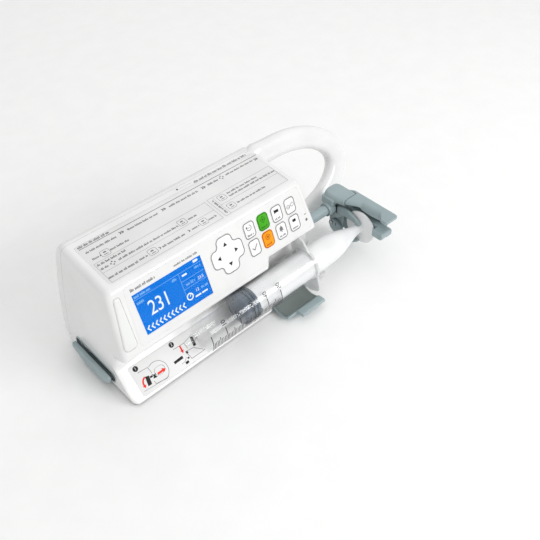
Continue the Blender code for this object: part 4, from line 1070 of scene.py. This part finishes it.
def control_film():
    outlines = [film_outline(), window_outline(-1.0), arrow_outline(SEAM)]
    outlines += [key_outline(column, row, SEAM) for row in range(2) for column in range(4)]
    film = plate("control_film", outlines, -0.5, 0.0, PANEL, FILM)
    fit(film, "pump_body", "film", "front_overlay")
    lamp = plate("lamp_bar", [lamp_outline()], -2.0, 0.7, PANEL, LENS, 1.5, 6)
    fit(lamp, "pump_body", "lens", "alarm_lamp")
    lights = [rounded_rectangle(2.2, 0.7, 0.2, (92.8, -18.3), 3), circle((92.9, -23.4), 1.25, 24)]
    print_on("status_marks", lights, PANEL, INK_GREY)
    small = words(-77.0, 2.6, 22.0, 2.4, 51) + words(-38.0, 2.4, 23.5, 1.7, 52)
    print_on("film_caption", small, PANEL, INK_GREY)


def power_glyph(x, y):
    found = ring_line(circle((x - 2.2, y - 0.5), 1.75, 28), 0.42)
    found += [circle((x - 2.2, y - 0.5), 0.5, 14)]
    found += [bar(x - 0.9, y - 2.0, 3.6, 0.32, math.radians(62.0))]
    found += [stroke(arc((x + 2.4, y + 0.3), 1.7, 125.0, 415.0, 20), 0.42)]
    return found + [bar(x + 2.4, y + 0.6, 2.0, 0.42, QUARTER)]


def glyph_of(name, x, y):
    """Each key's sign, as outlines on the panel about the key's middle."""
    caption = words(x - 3.3, y - 5.0, 6.6, 1.7, sum(map(ord, name)))
    above = y + 2.0
    if name == "key_clear":
        turn = stroke(arc((x, above), 2.3, 75.0, -205.0, 22), 0.5)
        head = moved([(1.2, 0.0), (-0.8, 1.1), (-0.8, -1.1)], x - 2.2, above + 0.9, math.radians(100.0))
        return caption + [turn, head, bar(x - 0.9, above, 1.8, 0.5)]
    if name == "key_start":
        diamond = [(x, above - 3.2), (x + 2.7, above), (x, above + 3.2), (x - 2.7, above)]
        return caption + ring_line(diamond, 0.7) + [circle((x, above), 0.9, 18)]
    if name == "key_power":
        return power_glyph(x, y)
    if name == "key_confirm":
        return [stroke([(x - 2.6, y + 0.1), (x - 0.7, y - 1.9), (x + 2.8, y + 2.3)], 0.75)]
    if name == "key_stop":
        square = rounded_rectangle(1.9, 1.9, 0.3, (x, above), 3)
        return caption + ring_line(circle((x, above), 2.5, 30), 0.6) + [square]
    if name == "key_silence":
        bell = [(x + 2.5, above - 1.9), (x + 1.7, above - 1.2)] + arc((x, above), 1.7, 0.0, 180.0, 16)
        bell += [(x - 1.7, above - 1.2), (x - 2.5, above - 1.9)]
        return caption + [bell, circle((x, above - 2.6), 0.6, 12), circle((x, above + 2.1), 0.45, 12)]
    return caption


def key_cap(body, outline_of, finish, slot, ink):
    """A key's cap and the printed line round it. outline_of gives its outline, grown by a distance."""
    cap = plate(body + "_cap", [outline_of(0.0)], -4.0, KEY_TOP, PANEL, finish, 0.3, 3)
    fit(cap, body, slot, body)
    ring = [tuple(outline_of(grow) for grow in KEY_RING)]
    print_on(body + "_ring", ring, PANEL, ink, 0.03, KEY_TOP, body)


def keys():
    names = (("key_clear", "key_start", "key_bolus", "key_power"),
             ("key_confirm", "key_stop", "key_silence", "key_menu"))
    finishes = {"key_start": (KEY_GREEN, "key_green", INK_GREEN),
                "key_stop": (KEY_ORANGE, "key_orange", INK_ORANGE)}
    blocks = {"key_bolus": 4.6, "key_menu": 3.6}
    for row, columns in enumerate(names):
        for column, name in enumerate(columns):
            finish = finishes.get(name, (KEY_WHITE, "key_white", INK_GREY))
            key_cap(name, lambda grow: key_outline(column, row, grow), *finish)
            x, y = key_centre(column, row)
            print_on(name + "_sign", glyph_of(name, x, y), PANEL, finish[2], 0.034, KEY_TOP, name)
            if name in blocks:
                dark = rounded_rectangle(blocks[name], 2.4, 0.3, (x + 0.1, y + 2.2), 3)
                print_on(name + "_block", [dark], PANEL, INK, 0.04, KEY_TOP, name)
            if name == "key_bolus":
                knob = rounded_rectangle(0.9, 3.2, 0.2, (x - 1.9, y + 2.2), 3)
                print_on(name + "_knob", [knob], PANEL, INK, 0.046, KEY_TOP, name)
    key_cap("arrow_pad", arrow_outline, KEY_WHITE, "key_white", INK_GREY)
    heads = []
    for turn in range(4):
        angle = QUARTER * turn
        spot = Matrix.Rotation(angle, 2) @ Vector((8.5, 0.0))
        head = [(1.9, 0.0), (-1.3, 1.95), (-1.3, -1.95)]
        heads.append(moved(head, ARROW[0] + spot.x, spot.y - ARROW[1], angle))
    print_on("arrow_pad_heads", heads, PANEL, INK, 0.04, KEY_TOP, "arrow_pad")


# ---------------------------------------------------------------- display


def on_screen(u, w):
    return (DISPLAY[0] + u, -w)


def screen_box(u0, u1, w0, w1):
    return box_corners(*on_screen(u0, w1), *on_screen(u1, w0))


def screen_words(u, w, length, height, seed):
    return words(*on_screen(u, w), length, height, seed)


def screen_print(name, shapes, low, high, material):
    fit(thin_print(name, shapes, low, high, PANEL, material), "pump_body", "screen")


def screen_digits(text, size, u, w, narrow=1.0):
    x, y = on_screen(u, w)
    mesh = numerals(text, size, x / narrow, y, 0.0, 0.95)
    mesh.transform(Matrix.Diagonal((narrow, 1.0, 1.0, 1.0)))
    mesh.transform(Matrix.Translation((0.0, 0.0, -1.3)))
    mesh.transform(PANEL)
    return mesh


def display():
    unit = plate("display_unit", [window_outline()], -9.0, -1.5, PANEL, BLACK)
    fit(unit, "pump_body", "screen", "lcd_module")
    picture = plate("display_picture", [screen_box(-0.9, 63.9, -0.9, 35.1)], -1.48, -1.40, PANEL, SCREEN_BLUE)
    fit(picture, "pump_body", "screen")
    edge = [(screen_box(-0.9, 63.9, -0.9, 35.1), screen_box(0.2, 63.3, 0.3, 34.8))]
    screen_print("display_edge", edge, -1.40, -1.34, SCREEN_EDGE)
    glass = plate("display_glass", [window_outline()], -1.1, -0.55, PANEL, WINDOW)
    fit(glass, "pump_body", "window", "display_window")
    pale = [screen_box(0.5, 62.3, 5.0, 5.3), screen_box(40.9, 41.2, 5.3, 26.5),
            screen_box(41.2, 62.3, 12.4, 12.7), screen_box(41.2, 62.3, 19.2, 19.5)]
    pale += screen_words(1.6, 4.0, 16.0, 2.4, 61) + screen_words(2.0, 9.4, 7.0, 2.4, 62)
    pale += screen_words(34.0, 8.5, 5.4, 2.0, 63) + screen_words(55.4, 8.4, 6.0, 1.8, 64)
    pale += screen_words(44.0, 17.4, 8.6, 2.4, 65) + screen_words(55.4, 25.8, 6.2, 1.8, 66)
    screen_print("screen_pale_print", pale, -1.34, -1.29, SCREEN_PALE)
    dial = on_screen(43.9, 26.6)
    white = [screen_box(56.0, 60.0, 1.6, 3.6), screen_box(60.0, 60.6, 2.2, 3.0),
             rounded_rectangle(4.6, 1.5, 0.4, on_screen(45.6, 8.2), 3),
             screen_box(48.2, 53.6, 28.6, 29.9), screen_box(54.6, 60.0, 28.6, 29.9)]
    white += ring_line(circle(dial, 3.1, 28), 1.0)
    white += [bar(dial[0], dial[1], 2.2, 0.7, math.radians(50.0))]
    for k in range(10):
        u = 2.6 + 3.65 * k
        spots = [on_screen(u + 2.1, 28.3), on_screen(u + 0.2, 30.5), on_screen(u + 2.1, 32.9)]
        white.append(stroke(spots, 0.95))
    screen_print("screen_white_print", white, -1.34, -1.27, SCREEN_WHITE)
    digits = [screen_digits("231", 16.8, 19.0, 17.6, 0.82), screen_digits("23.5", 3.4, 58.0, 16.9),
              screen_digits("12", 3.6, 51.6, 24.8)]
    digit_sheet("screen_digits", digits, 0.05, SCREEN_WHITE, "screen")


# ---------------------------------------------------------------- syringe


def wrapped(name, meshes):
    """Scale ink round the barrel: a flat (along X, round) drawing bent onto the syringe's axis."""
    work = gathered(meshes)
    bmesh.ops.triangulate(work, faces=work.faces)
    for _ in range(2):
        long = [edge for edge in work.edges if edge.calc_length() > 0.8]
        bmesh.ops.subdivide_edges(work, edges=long, cuts=2)
        bmesh.ops.triangulate(work, faces=work.faces)
    reach = BARREL_R + INK_LIFT
    for vert in work.verts:
        angle = vert.co.y / BARREL_R
        vert.co = point(vert.co.x, AXIS[0] + reach * math.cos(angle), AXIS[1] + reach * math.sin(angle))
    made = shade(thicken(made_of(work, name, INK_SCALE), 0.05), 60.0)
    return fit(made, "pump_body", "black")


def round_at(degrees):
    """How far round the barrel an angle is, from the back through the top to the front."""
    return math.radians(degrees) * BARREL_R


def scale_ink():
    marks = []
    digits = []
    for ml in range(51):
        x = ZERO_ML_X + ml * ML_PITCH
        start, end, half = 170.0, 199.0, 0.30
        if ml % 10 == 0:
            start, end, half = 146.0, 200.0, 0.36
        elif ml % 5 == 0:
            start = 163.0
        marks.append(box_corners(x - half, round_at(start), x + half, round_at(end)))
        if ml and ml % 10 == 0:
            # The figures run back over the barrel from the mark, their tops towards the nozzle.
            digits.append(numerals(str(ml), 5.6, x, round_at(133.0), -QUARTER, 0.95))
    wrapped("scale_marks", [curve_mesh(flat_curve(marks, "FRONT"))])
    wrapped("scale_figures", digits)


def flange_outline():
    """The barrel's two wings and the ring between them, turned as the photo shows them."""
    reach, half, tip, middle = 26.4, 7.5, 6.0, 13.0
    corners = [(-half, -reach, tip), (half, -reach, tip), (middle, 0.0, 12.0), (half, reach, tip),
               (-half, reach, tip), (-middle, 0.0, 12.0)]
    return moved(rounded_outline(corners, 10), *AXIS, math.radians(-30.0))


def syringe():
    low, high = BARREL_LEFT, 80.0
    profile = [(low - 11.0, 1.0), (low - 11.0, 1.9), (low - 6.0, 2.2), (low - 1.7, 2.6), (low - 1.3, 3.2),
               (low - 1.2, 6.6), (low - 0.8, 7.6), (low + 1.4, 13.6), (low + 2.2, 15.0), (low + 3.2, 15.65),
               (low + 4.4, BARREL_R), (high, BARREL_R), (high + 1.1, BARREL_R + 0.1),
               (high + 1.5, BARREL_R - 0.4), (high + 1.5, BORE_R + 0.4), (high + 1.0, BORE_R),
               (low + 4.6, BORE_R), (low + 3.4, 14.0), (low + 0.8, 6.0), (low + 0.4, 3.4),
               (low, 1.0), (low - 11.0, 1.0)]
    barrel = turned("barrel_tube", profile, AXIS, BARREL, 128, 30.0)
    fit(barrel, "pump_body", "clear_plastic", "syringe_barrel")
    wings = plate("barrel_flange", [flange_outline(), circle(AXIS, BARREL_R + 0.02, 96)], 79.0, 81.5, ACROSS,
                  BARREL_FROST, 0.6, 3)
    fit(wings, "pump_body", "clear_plastic")
    low, high = 1.8, 15.7
    ribs = [(low - 3.0, 0.0), (low - 2.7, 2.2), (low - 0.3, 12.6), (low + 0.1, 13.4), (low + 0.7, 14.1),
            (low + 1.3, 14.32), (low + 5.6, 14.32), (low + 6.0, 14.1), (low + 6.3, 13.2), (low + 7.3, 13.1),
            (low + 7.6, 14.0), (low + 8.0, 14.32), (low + 9.0, 14.32), (low + 9.4, 14.1), (low + 9.7, 13.2),
            (high - 3.2, 13.1), (high - 2.9, 14.0), (high - 2.5, 14.32), (high - 0.5, 14.3), (high, 13.9),
            (high, 0.0)]
    fit(turned("stopper_rubber", ribs, AXIS, STOPPER, 96, 30.0), "pusher", "rubber", "syringe_stopper")
    shaft = [(16.0, 0.0), (16.0, 13.2), (16.3, 13.4), (18.7, 13.4)]
    for k in range(33):
        part = k / 32
        x = 60.0 + 88.0 * part
        along = min(max((x - 84.0) / 64.0, 0.0), 1.0)
        radius = 4.3 + 8.95 * (1 + math.cos(math.pi * along ** 1.85)) / 2
        shaft.append((x, radius))
    disc_r = 16.3
    shaft += [(149.3, 4.4), (149.9, 4.9), (150.3, 6.0), (150.5, disc_r - 1.2), (150.7, disc_r - 0.5),
              (151.2, disc_r), (152.3, disc_r), (152.8, disc_r - 0.4), (153.0, disc_r - 1.0), (153.0, 0.0)]
    fit(turned("plunger_shaft", shaft, AXIS, PLUNGER, 96, 30.0), "pusher", "milky_plastic", "syringe_plunger")


# ---------------------------------------------------------------- pusher head


def blended(name, pieces, voxel, rounds):
    """One grey moulding from overlapping pieces: remeshed together, then smoothed where they meet."""
    work = bmesh.new()
    for piece in pieces:
        work.from_mesh(piece.data)
    drop(pieces)
    obj = made_of(work, name, GREY)
    fuse = obj.modifiers.new("fuse", "REMESH")
    fuse.mode = "VOXEL"
    fuse.voxel_size = voxel * MM
    even = obj.modifiers.new("even", "SMOOTH")
    even.factor = 0.5
    even.iterations = rounds
    settle(obj)
    obj.data.materials.clear()
    obj.data.materials.append(GREY)
    obj.data.shade_smooth()
    return obj


def wing_section(y, left, right, low_left, low, rounding):
    """One section of the hood or the wing in X and Z, its top left corner rounded."""
    rounding = min(rounding, (WING_TOP - low_left) * 0.72)
    corners = [(right, low, 0.6), (right, WING_TOP, 1.2), (left, WING_TOP, rounding), (left, low_left, 0.8),
               (max(left + 1.5, 150.0), low_left, 0.5)]
    return [(a, y, b) for a, b in reversed(rounded_outline(corners, 7))]


def pusher_head():
    seat = [(43.0, 53.2, 4.0), (19.0, 53.2, 4.0), (19.0, 40.5, 3.0), (10.0, 40.5, 8.0), (-4.0, 38.5, 10.0),
            (-10.5, 38.6, 2.0), (-25.0, 38.6, 2.0), (-25.0, 31.8, 3.0), (-11.5, 27.0, 3.0),
            (-6.0, 14.0, 11.0), (8.0, 12.0, 12.0), (26.0, 13.0, 8.0), (43.0, 24.0, 8.0)]
    pieces = [plate("seat", [rounded_outline(seat, 8)], 153.8, 160.8, ACROSS, None, 1.0, 4)]
    # Y, left, right and lower edge of the hood's sections, from the back to the front
    stations = [(43.3, 146.5, 155.5, 48.6), (43.0, 144.2, 157.6, 48.0), (41.8, 142.2, 159.6, 47.6),
                (39.5, 141.2, 160.6, 47.6), (36.0, 141.0, 160.8, 47.6), (30.0, 141.3, 160.8, 47.7),
                (25.0, 142.4, 160.8, 47.6), (19.8, 144.5, 160.8, 47.5)]
    rings = [wing_section(y, left, right, low, min(low, 46.6), 4.2) for y, left, right, low in stations]
    pieces.append(skin("hood", [[(151.0, 43.3, 51.0)]] + rings + [[(152.0, 19.8, 50.0)]]))
    hollow = [(144.0, 52.0, 0.6), (144.0, 47.4, 0.8), (150.2, 47.3, 3.0), (153.0, 40.6, 6.0),
              (154.0, 33.0, 2.0), (160.8, 33.0, 1.0), (160.8, 52.0, 1.0)]
    pieces.append(plate("hollow", [rounded_outline(hollow, 10)], -40.0, -19.8, SECTION, None, 0.6, 4))
    # Each block's corners in Y and Z, its two ends in X and the rounding of its edges
    blocks = {
        "post": ([(23.2, 24.0, 2.0), (40.0, 24.0, 4.0), (40.0, 46.0, 1.0), (23.2, 46.0, 1.0)],
                 149.9, 156.0, 0.0, 2),
        "low_post": ([(23.2, 14.2, 2.0), (40.0, 14.2, 3.0), (40.0, 26.0, 1.0), (23.2, 26.0, 1.0)],
                     149.9, 156.0, 0.0, 2),
        "riser": ([(29.0, 42.5, 2.0), (42.8, 42.5, 2.0), (42.8, 50.0, 1.0), (29.0, 50.0, 1.0)],
                  139.5, 147.4, 1.2, 4),
        "back": ([(39.0, 28.0, 2.0), (42.8, 28.0, 1.6), (42.8, 50.0, 1.0), (39.0, 50.0, 0.5)],
                 141.4, 156.0, 0.6, 2),
        "tab": ([(-25.0, 31.6, 3.2), (-13.0, 31.6, 1.0), (-13.0, 38.7, 1.0), (-25.0, 38.7, 2.2)],
                146.4, 156.0, 1.2, 4),
    }
    for name, (corners, low, high, edge, edge_steps) in blocks.items():
        pieces.append(plate(name, [rounded_outline(corners)], low, high, ACROSS, None, edge, edge_steps))
    collar = [(145.4, 5.3), (137.2, 5.3), (136.8, 5.6), (136.7, 6.0), (137.0, 6.4), (137.6, 6.6),
              (145.4, 6.6), (145.4, 5.3)]
    pieces.append(turned("collar", collar, TUBE, None, 72, 30.0))
    fit(blended("head_shell", pieces, 0.42, 9), "pusher", "grey_plastic", "pusher_head")
    tube = [(-10.0, 3.6), (-10.0, 4.7), (-9.7, 5.0), (143.4, 5.0), (143.4, 3.6), (-10.0, 3.6)]
    fit(turned("slide_tube", tube, TUBE, GREY, 72, 30.0), "pusher", "grey_plastic", "pusher_tube")


def clutch_wing():
    """The lever over the head: a thin wing, a hollow curve under it and the plate at its right side."""
    # Y, left edge, and lower edge at the left and elsewhere, from the back to the front
    stations = [(19.3, 144.8, 48.9, 43.6), (14.0, 147.5, 49.2, 44.0), (11.0, 149.8, 48.8, 44.0),
                (7.8, 152.6, 47.6, 44.0), (6.2, 153.5, 45.6, 44.0), (2.0, 153.6, 44.7, 44.0),
                (-8.0, 153.6, 44.9, 44.8), (-13.0, 153.5, 45.6, 45.4), (-16.0, 152.4, 47.4, 47.0),
                (-18.0, 150.0, 49.8, 49.6), (-20.0, 148.0, 50.1, 49.9), (-25.4, 147.5, 50.1, 49.9),
                (-26.7, 148.8, 50.5, 50.4)]
    rings = []
    for y, left, low_left, low in stations:
        right = 162.4 if y < -26.0 else 163.8
        rings.append(wing_section(y, left, right, low_left, low, 4.6 if y > -15.0 else 1.4))
    blade = skin("blade", [[(156.0, 19.3, 50.0)]] + rings + [[(156.0, -26.7, 51.8)]])
    corners = [(-61.0, 11.6, 2.0), (-55.5, 11.6, 1.0), (-53.0, -1.2, 1.5), (-26.0, -2.0, 4.0),
               (-12.0, -5.0, 5.0), (0.0, -8.5, 8.0), (8.0, -2.0, 7.0), (6.0, 8.0, 7.0),
               (-12.0, 15.6, 6.0), (-61.0, 15.6, 2.0)]
    about_tube = [(a + TUBE[0], b + TUBE[1], radius) for a, b, radius in corners]
    side = plate("side", [rounded_outline(about_tube)], 161.2, 163.8, ACROSS, None, 0.6, 3)
    fit(blended("clutch_wing", [blade, side], 0.42, 7), "clutch", "grey_plastic", "clutch_lever")


def claw_pieces():
    """The two claws. The lower one is drawn as the upper one and mirrored about the head's middle."""
    hook = [(26.6, 28.2, 3.0), (20.0, 34.6, 6.0), (11.5, 34.6, 8.0), (2.0, 33.2, 0.8), (-0.6, 33.4, 1.0),
            (6.0, 38.8, 8.0), (16.0, 42.4, 8.0)]
    hub = [(32.0, 26.6, 3.0)]
    above = [(26.2, 42.6, 4.0), (28.6, 40.4, 2.0), (28.9, 34.6, 0.6), (36.2, 34.6, 2.5), (37.6, 30.4, 3.0)]
    below = [(26.5, 43.4, 6.0), (35.0, 38.0, 5.0), (38.2, 30.6, 4.0)]
    mirror_z = 25.0
    upper = list(reversed(hub + hook + above))
    lower = [(y, 2 * mirror_z - z, radius) for y, z, radius in hub + hook + below]
    claws = {"upper": (upper, (33.5, 30.8), (28.4, 34.6)), "lower": (lower, (33.5, 19.2), (28.6, 19.6))}
    for name, (corners, pivot, slot_at) in claws.items():
        outlines = [rounded_outline(corners), circle(pivot, 1.8, 24)]
        finger = plate(name + "_finger", outlines, 146.0, 149.2, ACROSS, GREY, 0.7, 3)
        fit(finger, name + "_claw", "grey_plastic", name + "_claw")
        # The claw's slot is not cut: a thin black sheet on its face is painted shade for the slot's hollow.
        slot = rounded_rectangle(0.9, 3.6, 0.4, slot_at, 4)
        painted_slot_shade = plate(name + "_slot", [slot], 145.9, 146.05, ACROSS, BLACK)
        fit(painted_slot_shade, name + "_claw", "black")


# ---------------------------------------------------------------- clamp and dock lever


def clamp():
    hinge = Vector(CLAMP_HINGE)
    arm = Matrix.Rotation(CLAMP_OPEN, 2) @ (Vector(AXIS) - hinge)
    centre = tuple(hinge + arm)
    band = arc(centre, 17.4, 240.0, 322.0, 40)
    band += arc(tuple(hinge), 3.4, 75.0, -90.0, 24)
    band += arc(centre, 19.9, 300.0, 242.0, 30)
    saddle = plate("saddle", [list(reversed(band))], 39.2, 76.5, ACROSS, None, 0.3, 2)
    tip = Vector(arc(centre, 17.4, 240.0, 240.0, 1)[0])
    corners = [(tip.x - 8.0, tip.y - 1.4, 1.2), (tip.x + 2.5, tip.y - 2.2, 0.6),
               (tip.x + 1.6, tip.y - 0.4, 0.4), (tip.x - 1.0, tip.y + 1.6, 1.0),
               (tip.x - 8.0, tip.y + 2.2, 1.2)]
    lip = plate("lip", [rounded_outline(corners, 6)], 49.5, 76.5, ACROSS, None, 0.7, 4)
    made = blended("clamp_saddle", [saddle, lip], 0.36, 4)
    fit(made, "clamp", "grey_plastic", "barrel_clamp")
    pad = arc(centre, 16.8, 246.5, 318.0, 36) + arc(centre, 17.2, 318.0, 246.5, 36)
    liner = plate("clamp_liner", [list(reversed(pad))], 40.2, 75.5, ACROSS, LINER, 0.12, 2)
    fit(liner, "clamp", "rubber", "clamp_pad")


def dock_lever():
    paddle = plate("paddle", [paddle_outline()], -110.6, -107.2, ACROSS, None, 1.0, 4)
    web = block("web", (-107.4, 38.0, 6.8), (-101.5, 64.0, 10.4))
    knuckle = rod_along_y("knuckle", 2.8, 38.0, 64.0, *LEVER_HINGE)
    # A dark plate behind the paddle, seen through the gap round it: painted shade in that gap.
    dark_gap_plate = plate("paddle_rail", [paddle_outline(-1.6)], -106.7, -105.7, ACROSS, GAP_SHADE_GREY, 0.25, 2)
    fit(dark_gap_plate, "dock_lever", "grey_plastic")
    made = blended("release_paddle", [paddle, web, knuckle], 0.4, 4)
    fit(made, "dock_lever", "grey_plastic", "dock_lever")


# ---------------------------------------------------------------- kept CAD nodes


def dress_kept_nodes():
    finishes = {
        WHITE: ["base_cover", "battery_door"],
        GREY: ["tube_bush", "rear_mount_pad"],
        STEEL: ["bearing_left", "bearing_right", "clamp_pin", "clutch_rod", "dock_lever_pin", "drive_chassis",
                "guide_rod", "lead_screw", "lower_claw_pin", "upper_claw_pin", "nut_pin"],
        BRASS: ["half_nut", "motor_gear"],
        ACETAL: ["carriage", "screw_gear"],
        BOARD: ["key_board", "main_board"],
        BLACK: ["data_port", "mains_inlet", "speaker", "stepper_motor"],
        BATTERY: ["battery_pack"],
    }
    for material, names in finishes.items():
        for name in names:
            obj = frame["nodes"][name]
            for shown in [obj] + list(obj.children_recursive):
                for index in range(len(getattr(shown, "material_slots", []))):
                    shown.material_slots[index].link = "OBJECT"
                    shown.material_slots[index].material = material


# ---------------------------------------------------------------- camera, light and floor


def studio():
    scene = bpy.context.scene
    lens = bpy.data.cameras.new("camera")
    lens.lens = LENS_MM
    lens.sensor_width = 36.0
    lens.shift_y = LENS_SHIFT
    lens.clip_start = 0.01
    lens.clip_end = 20.0
    camera = bpy.data.objects.new("camera", lens)
    camera.location = point(*CAMERA_AT)
    camera.rotation_euler = (math.radians(90 - CAMERA_DOWN), 0.0, math.radians(-CAMERA_YAW))
    scene.collection.objects.link(camera)
    scene.camera = camera
    scene.view_settings.view_transform = "Standard"
    world = bpy.data.worlds.new("studio")
    world.use_nodes = True
    socket(world.node_tree.nodes["Background"], "Color", (1.0, 1.0, 1.0, 1.0))
    socket(world.node_tree.nodes["Background"], "Strength", WORLD_LIGHT)
    scene.world = world
    for name, (place, wide, tall, power) in LAMPS.items():
        light = bpy.data.lights.new(name, "AREA")
        light.shape = "RECTANGLE"
        light.energy = power
        light.size = wide
        light.size_y = tall
        obj = bpy.data.objects.new(name, light)
        obj.location = place
        obj.rotation_euler = (Vector(LIT_SPOT) - Vector(place)).to_track_quat("-Z", "Y").to_euler()
        scene.collection.objects.link(obj)
    work = bmesh.new()
    bmesh.ops.create_grid(work, x_segments=8, y_segments=8, size=FLOOR_HALF)
    made_of(work, "floor", FLOOR)


front_case()
rear_case()
rear_details()
carry_handle()
feet()
# The black strip round the base is painted contact shadow.
base_skirt()
lever_bezel()
top_label()
cradle_label()
control_film()
keys()
display()
syringe()
scale_ink()
pusher_head()
clutch_wing()
claw_pieces()
clamp()
dock_lever()
dress_kept_nodes()
studio()

bpy.context.view_layer.update()
